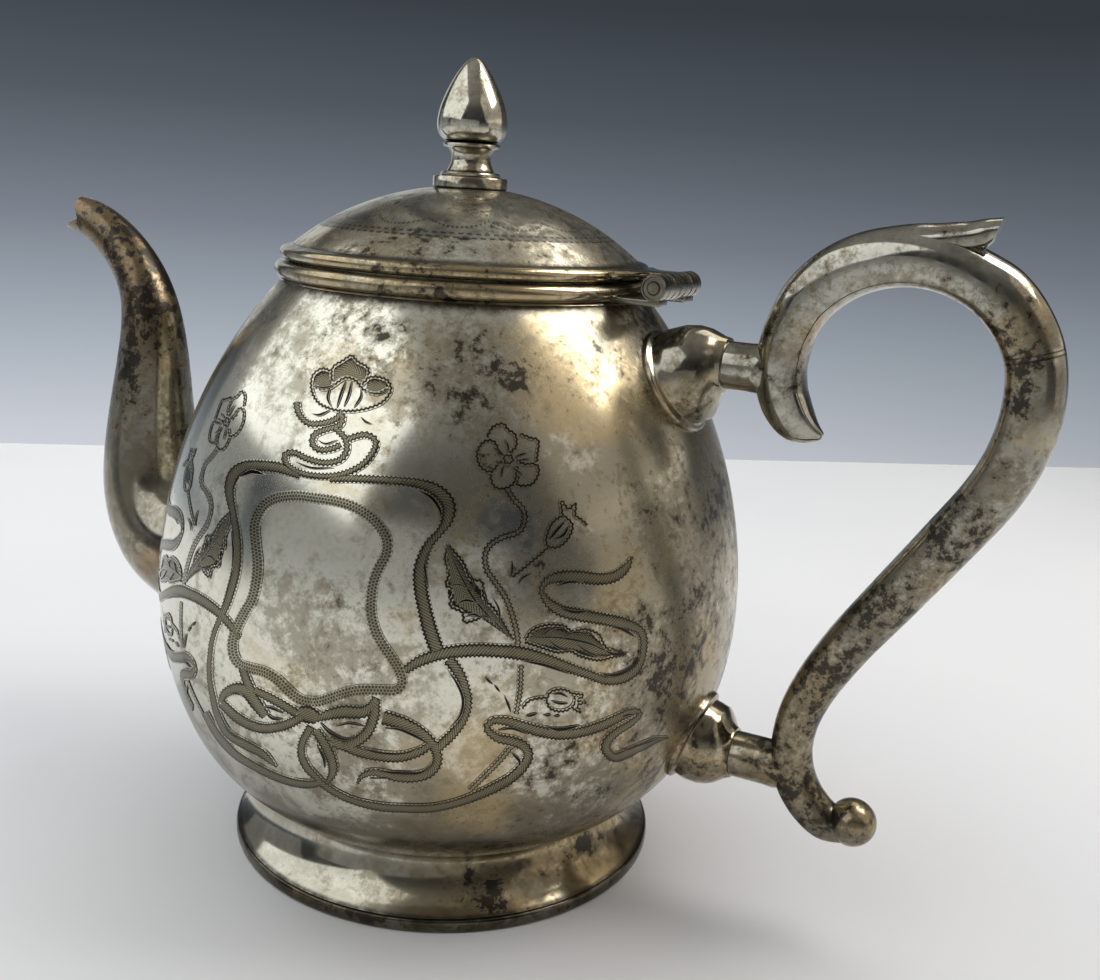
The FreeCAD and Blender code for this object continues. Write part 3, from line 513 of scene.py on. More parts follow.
# Finishes
class Finish:
    """A material that is put together node by node."""

    def __init__(self, name):
        self.material = bpy.data.materials.new(name)
        self.material.use_nodes = True
        self.tree = self.material.node_tree
        self.shader = self.tree.nodes["Principled BSDF"]
        self.place = self.tree.nodes.new("ShaderNodeTexCoord")

    def link(self, value, socket):
        if isinstance(value, bpy.types.NodeSocket):
            self.tree.links.new(value, socket)
        else:
            socket.default_value = value

    def noise(self, scale, detail=6.0, rough=0.6, shift=(0, 0, 0), twist=0.0):
        where = self.place.outputs["Object"]
        if any(shift):
            moved = self.tree.nodes.new("ShaderNodeMapping")
            self.link(where, moved.inputs["Vector"])
            moved.inputs["Location"].default_value = shift
            where = moved.outputs["Vector"]
        cloud = self.tree.nodes.new("ShaderNodeTexNoise")
        self.link(where, cloud.inputs["Vector"])
        cloud.inputs["Scale"].default_value = scale
        cloud.inputs["Detail"].default_value = detail
        cloud.inputs["Roughness"].default_value = rough
        cloud.inputs["Distortion"].default_value = twist
        return cloud.outputs["Fac"]

    def sum(self, kind, a, b, c=None):
        step = self.tree.nodes.new("ShaderNodeMath")
        step.operation = kind
        self.link(a, step.inputs[0])
        self.link(b, step.inputs[1])
        if c is not None:
            self.link(c, step.inputs[2])
        return step.outputs[0]

    def plus(self, a, b):
        return self.sum("ADD", a, b)

    def less(self, a, b):
        return self.sum("SUBTRACT", a, b)

    def times(self, a, b):
        return self.sum("MULTIPLY", a, b)

    def over(self, a, b):
        return self.sum("DIVIDE", a, b)

    def most(self, a, b):
        return self.sum("MAXIMUM", a, b)

    def scaled(self, a, b, c):
        """a times b, plus c."""
        return self.sum("MULTIPLY_ADD", a, b, c)

    def away(self, a):
        """How far from nought."""
        return self.sum("ABSOLUTE", a, 0.0)

    def apart(self, a, b):
        return self.away(self.less(a, b))

    def level(self, value, low, high, start=0.0, end=1.0):
        step = self.tree.nodes.new("ShaderNodeMapRange")
        step.interpolation_type = "SMOOTHSTEP"
        self.link(value, step.inputs["Value"])
        self.link(low, step.inputs["From Min"])
        self.link(high, step.inputs["From Max"])
        step.inputs["To Min"].default_value = start
        step.inputs["To Max"].default_value = end
        return step.outputs["Result"]

    def mix(self, share, a, b):
        step = self.tree.nodes.new("ShaderNodeMix")
        step.data_type = "RGBA"
        self.link(share, step.inputs["Factor"])
        self.link(a, step.inputs[6])
        self.link(b, step.inputs[7])
        return step.outputs[2]

    def axes(self):
        split = self.tree.nodes.new("ShaderNodeSeparateXYZ")
        self.link(self.place.outputs["Object"], split.inputs[0])
        return split.outputs

    def strip(self):
        """Millimetres along a strip, from its middle and to its edge, and how dark its rim is."""
        places = []
        for name in ("run", "width"):
            chart = self.tree.nodes.new("ShaderNodeUVMap")
            chart.uv_map = name
            split = self.tree.nodes.new("ShaderNodeSeparateXYZ")
            self.link(chart.outputs["UV"], split.inputs[0])
            places.append(split.outputs)
        along, across = places[0][:2]
        half, full = places[1][:2]
        left = self.less(full, self.away(across))
        return along, across, half, self.level(left, 0.0, 0.03, 0.75, 0.0)

    def wave(self, along, pitch):
        """Even zigzag between 0 and 1."""
        part = self.sum("FRACT", self.over(along, pitch), 0.0)
        return self.times(self.apart(part, 0.5), 2.0)

    def bump(self, height, strength, depth):
        step = self.tree.nodes.new("ShaderNodeBump")
        step.inputs["Strength"].default_value = strength
        step.inputs["Distance"].default_value = depth * MM
        self.link(height, step.inputs["Height"])
        self.link(step.outputs["Normal"], self.shader.inputs["Normal"])


CLEAN = (0.835, 0.815, 0.695, 1)
HAZE = (0.455, 0.42, 0.325, 1)
BROWN = (0.15, 0.122, 0.074, 1)
GOLD = (0.52, 0.39, 0.20, 1)
BLACK = (0.028, 0.024, 0.020, 1)
OLIVE = (0.20, 0.176, 0.108, 1)
LEADEN = (0.105, 0.096, 0.082, 1)
UMBER = (0.105, 0.084, 0.056, 1)
COPPER = (0.33, 0.205, 0.10, 1)
SLATE = (0.080, 0.079, 0.064, 1)
SMOKE = (0.055, 0.048, 0.036, 1)
INK = (0.018, 0.015, 0.011, 1)


# Pitches of the cuts along their strokes, in millimetres, and what goes round the lid
EDGE_PITCH = 0.85
OUTLINE_PITCH = 0.9
STROKE_PITCH = 0.66
LID_DASHES = 112
LID_SWAGS = 14
LID_BEADS = 196


def wriggle(f, along, across, half):
    """How far inside the wriggled edge of a strip a point is."""
    tooth = f.scaled(f.wave(along, EDGE_PITCH), 0.36, -0.20)
    return f.less(f.less(half, f.away(across)), tooth)


def ribbon_cut(f, slant=0.9, tint=0.90, hatching=0.70, feathered=False):
    """Ribbon with wriggled dark edges, one side in shade, and slanted strokes, in a V if feathered."""
    along, across, half, rim = f.strip()
    inside = wriggle(f, along, across, half)
    fill = f.level(inside, 0.0, 0.05)
    border = f.most(f.times(half, 0.30), 0.27)
    edge = f.times(fill, f.level(inside, border, f.plus(border, 0.13), 0.97, 0.0))
    lean = f.scaled(f.away(across) if feathered else across, slant, along)
    hatch = f.times(f.level(f.wave(lean, STROKE_PITCH), 0.50, 0.78), hatching)
    hatch = f.plus(hatch, f.level(f.over(across, half), -0.1, 1.0, 0.0, 0.40))
    dark = f.most(edge, f.times(hatch, fill))
    return f.times(fill, tint), f.most(dark, rim)


def stem_cut(f):
    return ribbon_cut(f, tint=0.6, hatching=0.25)


def leaf_cut(f):
    return ribbon_cut(f, slant=1.3, tint=0.9, hatching=0.8, feathered=True)


def outline_cut(f):
    """Fine wavering line."""
    along, across, _, rim = f.strip()
    tooth = f.scaled(f.wave(along, OUTLINE_PITCH), 0.30, -0.15)
    away = f.apart(across, tooth)
    return f.level(away, 0.24, 0.42, 0.7, 0.0), f.most(f.level(away, 0.15, 0.26, 1.0, 0.0), rim)


def deep_cut(f):
    """Dark cut as wide as its stroke."""
    _, across, half, rim = f.strip()
    inside = f.less(half, f.away(across))
    return 0.0, f.most(f.level(inside, 0.0, 0.07), rim)


def shield_cut(f):
    """Band of three staggered rows of punched dashes between wriggled edges."""
    along, across, half, rim = f.strip()
    inside = wriggle(f, along, across, half)
    fill = f.level(inside, 0.0, 0.06)
    place = f.over(f.times(across, 1.6), half)
    row = f.sum("ROUND", place, 0.0)
    side = f.wave(f.scaled(row, STROKE_PITCH / 2, along), STROKE_PITCH)
    down = f.apart(place, row)
    dot = f.times(f.level(side, 0.28, 0.48), f.level(down, 0.30, 0.42, 1.0, 0.0))
    dot = f.times(f.times(dot, fill), 0.85)
    return f.times(fill, 0.72), f.most(dot, rim)


def lid_cut(f):
    """Two rows of dashes round the lid, beaded swags inside them, and mottled stain as far as they reach."""
    axes = f.axes()
    x = f.over(axes[0], MM)
    y = f.over(axes[1], MM)
    radius = f.sum("SQRT", f.scaled(x, x, f.times(y, y)), 0.0)
    turn_share = f.scaled(f.sum("ARCTAN2", y, x), 0.5 / math.pi, 0.5)
    line = 0.0
    for row, ring in enumerate((33.3, 32.1)):
        away = f.apart(radius, ring)
        dash = f.wave(f.plus(turn_share, row / (2 * LID_DASHES)), 1 / LID_DASHES)
        dash = f.times(f.level(away, 0.16, 0.34, 0.75, 0.0), f.level(dash, 0.30, 0.50))
        line = f.most(line, dash)
    sway = f.wave(turn_share, 1 / LID_SWAGS)
    hang = f.scaled(f.times(sway, sway), -2.7, 30.2)
    away = f.apart(radius, hang)
    bead = f.level(f.wave(turn_share, 1 / LID_BEADS), 0.25, 0.55)
    line = f.most(line, f.times(f.level(away, 0.25, 0.45, 0.65, 0.0), bead))
    mottle = f.level(f.noise(70, 6, 0.66, twist=0.6), 0.36, 0.62, 0.20, 1.0)
    return f.times(f.level(radius, 33.0, 34.0, 0.86, 0.0), mottle), line


def joint_cut(f):
    """Two fine lines scribed round the handle where its castings meet."""
    x, _, z = f.axes()
    heading = math.radians(JOINT[2])
    run = f.scaled(f.less(x, JOINT[0] * MM), math.cos(heading) / MM,
                   f.times(f.less(z, JOINT[1] * MM), math.sin(heading) / MM))
    line = 0.0
    for place, wide in ((-0.9, 0.09), (0.0, 0.14)):
        away = f.apart(run, place)
        line = f.most(line, f.level(away, wide, wide + 0.12, 0.7, 0.0))
    return 0.0, f.times(line, f.sum("GREATER_THAN", x, 112 * MM))


def old_silver(name, soot, haze, gold, dull, stain=BROWN, weather=(0, 0, 0), base=0.0, low=0.0, matt=0.13,
               seams=(), tone=OLIVE, rust=GOLD, shift=(0, 0, 0), cut=None):
    """Silver with haze, golden and brown stain and black tarnish, with painted shade low down and at the
    seams; the shares say how much of each.
    """
    f = Finish(name)
    axes = f.axes()
    lean = f.scaled(axes[0], weather[0] / MM, -base)
    lean = f.scaled(axes[1], weather[1] / MM, lean)
    lean = f.scaled(axes[2], weather[2] / MM, lean)
    patch = f.noise(28, 5, 0.62, shift=shift, twist=0.4)
    blotch = f.noise(130, 6, 0.68, shift=shift, twist=0.9)
    speck = f.noise(900, 4, 0.65)
    crumb = f.noise(400, 6, 0.74, shift=(0, shift[0], 0))
    pile = f.scaled(blotch, 0.37, f.times(patch, 0.70))
    pile = f.plus(f.scaled(crumb, 0.60, pile), lean)
    black = f.level(pile, 1.09 - soot * 0.30, 1.14 - soot * 0.30)
    halo = f.level(pile, 0.97 - soot * 0.30, 1.10 - soot * 0.30)
    broad = f.noise(24, 4, 0.6, shift=(3.1 + shift[0], 1.7, 0.4), twist=0.5)
    cloud = f.noise(80, 6, 0.66, shift=(1.3, shift[1], 2.9), twist=0.7)
    # Darker haze and stain towards the bottom, rising higher on the left side: partly tarnish, partly painted
    # shade on the lower body.
    ragged = f.scaled(broad, -55 * MM, f.times(cloud, -60 * MM))
    under = f.scaled(f.sum("MINIMUM", axes[0], 0.0), 0.2, f.plus(axes[2], ragged))
    under = f.level(under, -44 * MM, 2 * MM, low, 0.0)
    film = f.scaled(broad, 0.50, f.times(cloud, 0.42))
    film = f.plus(f.scaled(crumb, 0.34, film), f.scaled(under, 0.10, lean))
    grey = f.level(film, 0.72 - haze * 0.25, 0.82 - haze * 0.25)
    streak = f.noise(34, 5, 0.6, shift=(7.0, 2.0 + shift[1], 5.0), twist=0.5)
    streak = f.scaled(lean, 1.4, streak)
    warm = f.level(f.scaled(crumb, 0.2, streak), 0.84 - gold * 0.4, 1.02 - gold * 0.4)
    colour = f.mix(grey, CLEAN, HAZE)
    # Stain share, with the painted shade low down added in.
    film = f.plus(f.level(cloud, 0.30, 0.62, dull, dull * 0.65), under)
    film = f.scaled(f.most(lean, 0.0), 3.0, film)
    colour = f.mix(film, colour, stain)
    colour = f.mix(f.times(warm, 0.62), colour, rust)
    colour = f.mix(f.times(halo, 0.60), colour, BROWN)
    colour = f.mix(f.level(speck, 0.45, 0.70, 0.0, 0.16), colour, BROWN)
    pepper = f.level(f.scaled(grey, 0.08, f.scaled(patch, 0.15, speck)), 0.79, 0.87)
    black = f.most(black, f.times(pepper, 0.75))
    # Painted shade at the seams, where parts meet and shade falls, with tarnish gathered there: black along
    # the given heights.
    seam_tarnish_and_shade = 0.0
    for height, reach in seams:
        away = f.apart(axes[2], height * MM)
        seam_tarnish_and_shade = f.most(seam_tarnish_and_shade, f.level(away, 0.0, reach * MM, 1.0, 0.0))
    if seams:
        black = f.most(black, f.times(seam_tarnish_and_shade, f.level(crumb, 0.3, 0.6, 0.6, 1.0)))
    colour = f.mix(f.times(black, 0.92), colour, BLACK)
    rough = f.scaled(grey, 0.06, matt)
    rough = f.scaled(f.most(black, halo), 0.11, rough)
    metal = f.scaled(grey, -0.14, 0.98)
    metal = f.scaled(halo, -0.12, metal)
    height = f.times(black, -0.5)
    if cut:
        fill, line = cut(f)
        colour = f.mix(fill, colour, tone)
        colour = f.mix(line, colour, INK)
        rough = f.scaled(fill, 0.12, rough)
        height = f.scaled(line, -2.0, height)
    f.link(colour, f.shader.inputs["Base Color"])
    f.link(metal, f.shader.inputs["Metallic"])
    f.link(rough, f.shader.inputs["Roughness"])
    f.bump(height, 0.12, 0.05)
    return f.material


def dress(piece, body, slot, finish, *nodes):
    coat(piece, finish)
    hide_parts(*nodes)
    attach(piece, body)


# The low and seams settings lay painted shade, with tarnish: darker low on the body and along the seams where
# parts meet.
BODY_WEAR_AND_SHADE = {"soot": 0.42, "haze": 0.58, "gold": 0.54, "dull": 0.12, "matt": 0.16, "base": 0.035,
             "weather": (0.0013, 0.0004, 0.0004), "low": 0.92, "seams": ((134.7, 2.2), (14.4, 2.6))}
body_silver = old_silver("body_silver", **BODY_WEAR_AND_SHADE)
ribbon_silver = old_silver("ribbon_silver", **BODY_WEAR_AND_SHADE, cut=ribbon_cut)
stem_silver = old_silver("stem_silver", **BODY_WEAR_AND_SHADE, cut=stem_cut)
leaf_silver = old_silver("leaf_silver", **BODY_WEAR_AND_SHADE, cut=leaf_cut)
outline_silver = old_silver("outline_silver", **BODY_WEAR_AND_SHADE, cut=outline_cut)
cut_silver = old_silver("cut_silver", **BODY_WEAR_AND_SHADE, cut=deep_cut)
shield_silver = old_silver("shield_silver", **BODY_WEAR_AND_SHADE, cut=shield_cut)
foot_silver = old_silver("foot_silver", soot=0.36, haze=0.46, gold=0.62, dull=0.66, matt=0.10,
                         weather=(0.0020, 0, 0), seams=((14.6, 2.2), (3.4, 0.6)), shift=(0.7, 3.0, 2.0))
spout_silver = old_silver("spout_silver", soot=0.72, haze=0.70, gold=0.80, dull=0.90, stain=UMBER,
                          rust=COPPER, base=0.13, weather=(0, 0, 0.0014), shift=(2.0, 0.5, 1.0))
lid_silver = old_silver("lid_silver", soot=0.52, haze=0.42, gold=0.66, dull=0.05, matt=0.14, tone=SLATE,
                        weather=(0.0006, 0, 0), seams=((142.6, 0.9), (157.0, 0.4)), shift=(4.0, 1.0, 0.3),
                        cut=lid_cut)
knob_silver = old_silver("knob_silver", soot=0.42, haze=0.36, gold=0.52, dull=0.54, matt=0.10,
                         seams=((166.9, 0.8),), shift=(4.0, 1.0, 0.3))
stem_metal = old_silver("stem_metal", soot=0.56, haze=0.50, gold=0.70, dull=0.62, matt=0.10,
                        seams=((156.9, 0.4), (159.4, 0.3), (160.4, 0.5), (166.7, 0.7)), shift=(4.0, 1.0, 0.3))
wire_silver = old_silver("wire_silver", soot=0.54, haze=0.60, gold=0.84, dull=0.72, matt=0.10,
                         seams=((134.8, 0.7), (139.25, 0.75), (142.5, 0.5)), shift=(1.2, 4.0, 0.0))
hinge_silver = old_silver("hinge_silver", soot=0.60, haze=0.70, gold=0.72, dull=0.9, stain=SMOKE,
                          shift=(3.2, 1.0, 2.0))
foot_edge = old_silver("foot_edge", soot=0.70, haze=0.30, gold=0.30, dull=1.3, stain=SMOKE,
                       seams=((3.2, 0.3),), shift=(3.2, 1.0, 2.0))
handle_silver = old_silver("handle_silver", soot=0.68, haze=0.52, gold=0.52, dull=0.76, stain=LEADEN,
                           base=-0.02, matt=0.10, weather=(0.0004, 0, -0.0004), shift=(0.4, 2.2, 3.0),
                           cut=joint_cut)
socket_silver = old_silver("socket_silver", soot=0.66, haze=0.40, gold=0.66, dull=0.95, stain=UMBER,
                           matt=0.11, shift=(5.0, 0.0, 1.0))

dress(make_body(), "pot", "silver_sheet", body_silver, "body_shell")
dress(make_mouth_wire(), "pot", "silver_wire", wire_silver, "mouth_rim_wire")
dress(make_foot(), "pot", "silver_sheet", foot_silver, "foot_ring")
dress(make_foot_wire(), "pot", "silver_wire", foot_edge, "foot_edge_wire")
dress(make_spout(), "pot", "silver_sheet", spout_silver, "spout")
dress(make_socket("upper_socket_cup", UPPER_SOCKET, SHOULDER_ARC, SHOULDER_X, 11.9, 11.2, UPPER_STUB),
      "pot", "silver_cast", socket_silver, "upper_socket")
dress(make_socket("lower_socket_cup", LOWER_SOCKET, LOWER_ARC, LOWER_X, 10.9, 9.8, LOWER_STUB),
      "pot", "silver_cast", socket_silver, "lower_socket")
dress(make_upper_scroll(), "pot", "silver_cast", handle_silver, "handle_upper_scroll")
dress(make_lower_scroll(), "pot", "silver_cast", handle_silver, "handle_lower_scroll")
dress(make_lid_dome(), "lid", "silver_sheet", lid_silver, "lid_dome")
dress(make_lid_wire(), "lid", "silver_wire", wire_silver, "lid_rim_wire")
knob_base, knob_stem, knob_bud = make_finial()
dress(knob_base, "lid", "silver_cast", stem_metal, "finial_base")
dress(knob_stem, "lid", "silver_cast", stem_metal, "finial_stem")
dress(knob_bud, "lid", "silver_cast", knob_silver, "finial_bud")
bracket, leaf = make_hinge()
dress(bracket, "pot", "silver_wire", hinge_silver, "hinge_body_leaf")
dress(leaf, "lid", "silver_wire", hinge_silver, "hinge_lid_leaf")
for node in ("hinge_pin", "spout_strainer", "lid_bezel", "finial_screw", "finial_washer", "finial_nut"):
    coat(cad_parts[node], hinge_silver)


# Camera, where the photograph was taken from
EYE = Vector((141.28, -244.7, 158.5))
FOCUS = 1207.6
SENSOR = 36.0
WIDTH = 1100
HEIGHT = 980
AROUND = math.radians(25.49)
DOWN = math.radians(14.13)
TILT = math.radians(3.45)
AHEAD = Vector((-math.sin(AROUND) * math.cos(DOWN), math.cos(AROUND) * math.cos(DOWN), -math.sin(DOWN)))
LEVEL = Vector((math.cos(AROUND), math.sin(AROUND), 0))
UP = LEVEL.cross(AHEAD)
RIGHT = LEVEL * math.cos(TILT) + UP * math.sin(TILT)
ABOVE = UP * math.cos(TILT) - LEVEL * math.sin(TILT)


def sight(x, y):
    """Direction from the camera through a point of the picture."""
    return AHEAD + RIGHT * ((x - WIDTH / 2) / FOCUS) - ABOVE * ((y - HEIGHT / 2) / FOCUS)


def on_floor(x, y):
    line = sight(x, y)
    return EYE - line * (EYE.z / line.z)


put_down()
bpy.ops.object.camera_add()
camera = bpy.context.object
camera.matrix_world = Matrix((RIGHT, ABOVE, -AHEAD)).transposed().to_4x4()
camera.location = EYE * MM
camera.data.sensor_width = SENSOR
camera.data.lens = SENSOR * FOCUS / WIDTH
bpy.context.scene.camera = camera


# Engraving, drawn over the picture as (x, y, width) points and laid on the egg
CLEAR_OF_BODY = 110
HALVINGS = 36


def egg_radius(height):
    """Outside radius of the body at heights."""
    rise = height - BELLY_HEIGHT
    shoulder = SHOULDER_X + np.sqrt(np.maximum(SHOULDER_ARC ** 2 - rise ** 2, 0))
    lower = LOWER_X + np.sqrt(np.maximum(LOWER_ARC ** 2 - rise ** 2, 0))
    bottom = BOTTOM_X + np.sqrt(np.maximum(BOTTOM_ARC ** 2 - (height - BOTTOM_Z) ** 2, 0))
    turned = -LOWER_ARC * math.sin(math.radians(LOWER_ANGLE))
    return np.where(rise > 0, shoulder, np.where(rise > turned, lower, bottom))


def on_body(spots):
    """Angle round the pot and height where points of the picture lie on the body, found by halving."""
    lines = (np.array(AHEAD) + (spots[..., :1] - WIDTH / 2) / FOCUS * np.array(RIGHT)
             - (spots[..., 1:2] - HEIGHT / 2) / FOCUS * np.array(ABOVE))
    eye = np.array(EYE)
    inside = -(lines[..., :2] @ eye[:2]) / (lines[..., :2] ** 2).sum(-1)
    outside = inside - CLEAR_OF_BODY
    for _ in range(HALVINGS):
        middle = (inside + outside) / 2
        there = eye + lines * middle[..., None]
        free = np.hypot(there[..., 0], there[..., 1]) > egg_radius(there[..., 2])
        outside = np.where(free, middle, outside)
        inside = np.where(free, inside, middle)
    there = eye + lines * inside[..., None]
    return np.arctan2(there[..., 1], there[..., 0]), there[..., 2]


def lay_on_body(angle, height, lift):
    """Points a little way out from the body's surface."""
    radius = egg_radius(height)
    slope = (egg_radius(height + 0.05) - egg_radius(height - 0.05)) / 0.1
    long = np.sqrt(1 + slope ** 2)
    radius = radius + lift / long
    return np.stack([radius * np.cos(angle), radius * np.sin(angle), height - lift * slope / long], -1)


def ease(stroke, spacing=1.6):
    """Evenly spaced points on a smooth line through the points of a stroke."""
    points = np.array(stroke, float)
    far = np.concatenate([2 * points[:1] - points[1:2], points, 2 * points[-1:] - points[-2:-1]])
    line = []
    for number in range(len(points) - 1):
        before, here, there, after = far[number:number + 4]
        count = max(1, round(np.hypot(*(there - here)[:2]) / spacing))
        t = (np.arange(count) / count)[:, None]
        line.append(here + t * (there - before) / 2 + t ** 2 * (before - 2.5 * here + 2 * there - after / 2)
                    + t ** 3 * (3 * here - 3 * there + after - before) / 2)
    line = np.concatenate(line + [points[-1:]])
    line[:, 2] = np.maximum(line[:, 2], 0.3)
    return line


def lens(width, *spots):
    """Stroke that swells from nothing to its width and back."""
    line = ease([(x, y, 1.0) for x, y in spots])
    share = np.linspace(0, 1, len(line))
    line[:, 2] = 0.25 + width * np.sin(math.pi * share) ** 0.75
    return line


def even(width, *spots):
    return ease([(x, y, width) for x, y in spots])


MIDDLE = on_body(np.array([318.0, 600.0]))[0]
FIRST_LIFT = 0.030
LAYER_LIFT = 0.0006
STRIP_THICKNESS = 0.12
RIBBON_CROWN = 0.05
layer = [0]


def cut_strip(line, margin=0.9, mirrored=False, cells=4, edges=None, crown=0.0):
    """One engraved stroke as a strip that hugs the body, with its own length and width in its UV maps."""
    line = np.array(line)
    run = np.gradient(line[:, :2], axis=0)
    side = np.stack([-run[:, 1], run[:, 0]], -1) / np.maximum(np.hypot(*run.T), 1e-6)[:, None]
    half = line[:, 2] / 2 + margin
    trim = np.ones(len(line)) if edges is not None else line[:, 2] / 2 / half
    share = np.linspace(-1, 1, cells + 1) * trim[:, None]
    if edges is None:
        cells += 2
        share = np.pad(share, ((0, 0), (1, 1)), constant_values=((0, 0), (-1, 1)))
        spots = line[:, None, :2] + side[:, None] * half[:, None, None] * share[..., None]
    else:
        spots = edges[0][:, None] + (edges[1] - edges[0])[:, None] * (share[..., None] + 1) / 2
    angle, height = on_body(spots)
    if mirrored:
        angle = 2 * MIDDLE - angle
    layer[0] += 1
    lift = FIRST_LIFT + LAYER_LIFT * layer[0] + crown * np.maximum(0, 1 - (share / trim[:, None]) ** 2)
    places = lay_on_body(angle, height, lift)
    centre = places[:, cells // 2]
    along = np.concatenate([[0], np.cumsum(np.linalg.norm(np.diff(centre, axis=0), axis=1))])
    across = np.linalg.norm(places - centre[:, None], axis=2) * np.sign(share)
    widest = np.maximum(across[:, -1], -across[:, 0])
    count = len(line)
    put_down()
    bpy.ops.mesh.primitive_grid_add(x_subdivisions=cells, y_subdivisions=count - 1, size=2)
    strip = bpy.context.object
    spot = np.zeros(len(strip.data.vertices) * 3)
    strip.data.vertices.foreach_get("co", spot)
    spot = spot.reshape(-1, 3)
    column = np.rint((spot[:, 0] + 1) / 2 * cells).astype(int)
    row = np.rint((spot[:, 1] + 1) / 2 * (count - 1)).astype(int)
    if not mirrored:
        column = cells - column
    strip.data.vertices.foreach_set("co", (places[row, column] * MM).ravel())
    corner = np.zeros(len(strip.data.loops), int)
    strip.data.loops.foreach_get("vertex_index", corner)
    strip.data.uv_layers[0].name = "run"
    strip.data.uv_layers["run"].data.foreach_set(
        "uv", np.stack([along[row], across[row, column]], -1)[corner].ravel())
    strip.data.uv_layers.new(name="width").data.foreach_set(
        "uv", np.stack([(widest * trim)[row], widest[row]], -1)[corner].ravel())
    strip.data.update()
    return strip


LEFT_RIBBON = ((300, 474, 10), (280, 468, 11), (262, 466, 11), (245, 467, 11), (235, 474, 12),
               (230, 487, 10), (231, 500, 8), (234, 515, 7), (237, 535, 8), (237.5, 555, 9), (236, 572, 9),
               (232, 588, 9), (227, 604, 8), (220, 620, 6), (214, 635, 5), (210.5, 655, 5), (210, 675, 5),
               (213, 695, 6), (218, 715, 7), (228, 733, 8), (245, 744, 9), (262, 753, 8), (270, 760, 6),
               (277, 767, 1))
RIGHT_RIBBON = ((330, 478, 9), (360, 479, 8), (390, 480.5, 8), (415, 483, 9), (432, 488, 12),
                (444, 497, 14), (449, 508, 14), (447, 520, 12), (440, 532, 8), (430, 543, 9),
                (424, 555, 11), (420, 570, 13), (421, 590, 14), (425, 610, 14), (430, 630, 15),
                (437, 650, 15))
SIDE_RIBBON = ((405, 670, 8), (420, 661, 11), (440, 654, 12), (460, 651, 13), (480, 650, 13),
               (500, 651, 13), (520, 653, 14), (545, 659, 12), (570, 668, 10), (590, 675, 9), (605, 680, 9),
               (620, 679, 10), (632, 673, 9), (640, 663, 7), (643, 650, 7), (643, 638, 8), (638, 629, 9),
               (622, 623, 12), (600, 618.5, 12), (580, 615, 13), (562, 611, 12), (550, 604, 10),
               (544, 597, 7), (541, 590, 5), (547, 581, 8), (560, 577, 12), (580, 577, 13), (600, 579, 12),
               (615, 576, 11), (626, 567, 8), (632, 556, 1))
LOW_LEFT_RIBBON = ((205, 712, 6), (213, 727, 7), (223, 741, 8), (237, 755, 8), (255, 766, 8), (275, 776, 8),
                   (295, 782.5, 8), (310, 784, 8), (322, 782, 6))
LOW_RIGHT_RIBBON = ((318, 780, 7), (335, 792, 7), (355, 801, 7), (380, 806.5, 8), (400, 808, 8),
                    (430, 808, 8), (455, 803, 8), (475, 796, 9), (495, 787, 10), (512, 777, 10),
                    (523, 766, 10))
LOW_TAIL = ((512, 777, 10), (523, 766, 10), (528, 755, 10), (524, 746, 10), (513, 741, 10), (499, 738, 9),
            (490, 732, 8), (487, 726, 7), (494, 720.5, 7), (507, 721, 9), (520, 725, 10), (540, 731, 11),
            (560, 734, 11), (580, 732, 10), (600, 726, 10), (615, 719, 9), (628, 713, 8), (637, 711, 6),
            (639, 715, 5), (630, 723, 7), (617, 731, 8), (607, 741, 9), (606, 750, 10), (614, 757, 9),
            (625, 754, 9), (640, 747, 8), (655, 740, 6), (668, 737, 1))
BOW = (
    ((243, 668, 8), (247, 680, 9), (252, 692, 10)),
    ((221, 702, 6), (226, 693, 9), (237, 688.5, 12), (248, 692, 13), (257, 704, 12), (266, 716, 9)),
    ((222, 703, 9), (240, 719, 10), (262, 728, 10), (285, 725, 10), (302, 717, 9)),
    ((255, 690, 8), (275, 700, 9), (297, 713, 9)),
    ((449, 659, 12), (459, 673, 11), (466, 690, 9), (468, 704, 8), (463, 720, 8), (452, 734, 10),
     (437, 748, 10)),
    ((330, 738, 6), (345, 746, 9), (365, 753, 10), (395, 757, 10), (418, 752, 9), (432, 743, 7)),
    ((316, 719, 6), (330, 714, 11), (345, 711.5, 13), (362, 712, 12), (372, 706, 10), (376, 698, 8)),
    ((376, 700, 9), (374, 716, 11), (368, 731, 11), (357, 741, 11), (344, 745, 10), (333, 742, 8)),
    ((383, 717, 14), (405, 724, 13), (423, 734, 11), (435, 748, 10), (437, 762, 10), (428, 773, 10),
     (412, 777, 10), (395, 776, 9), (375, 772, 7), (363, 775, 6), (357, 784, 2)),
    ((311, 727, 9), (303, 742, 8), (302, 755, 8), (308, 768, 8), (320, 780, 6)),
    ((316, 730, 9), (325, 744, 10), (332, 760, 10), (333, 772, 9), (328, 781, 5)),
    ((299, 712, 12), (308, 714, 18), (318, 718, 12)),
)
SHIELD = ((256, 545), (255, 525), (262, 508), (275, 499), (295, 496), (315, 498), (335, 501), (352, 506),
          (368, 515), (380, 527), (387, 540), (386, 555), (379, 568), (373, 585), (371, 605), (372, 618),
          (376, 632), (383, 645), (392, 658), (399, 670), (402, 682), (396, 690), (380, 690), (360, 690),
          (345, 693), (330, 698), (315, 702), (300, 699), (288, 690), (278, 680), (265, 672), (250, 668),
          (240, 664), (234, 655), (233, 642), (237, 628), (245, 612), (252, 600), (256, 585), (258, 565),
          (256, 545))
KNOT_CURLS = (
    ((297, 402), (299, 413), (308, 423), (320, 424), (335, 420), (343, 412)),
    ((343, 415), (340, 425), (325, 430), (315, 435), (313, 444), (320, 450), (332, 449), (341, 445)),
    ((335, 428), (345, 438), (347, 450), (340, 460), (325, 463), (308, 459), (295, 453), (286, 455),
     (287, 464), (298, 472), (315, 476), (335, 476), (352, 471), (366, 462), (375, 449), (375, 440),
     (366, 435), (355, 437), (345, 441)),
)
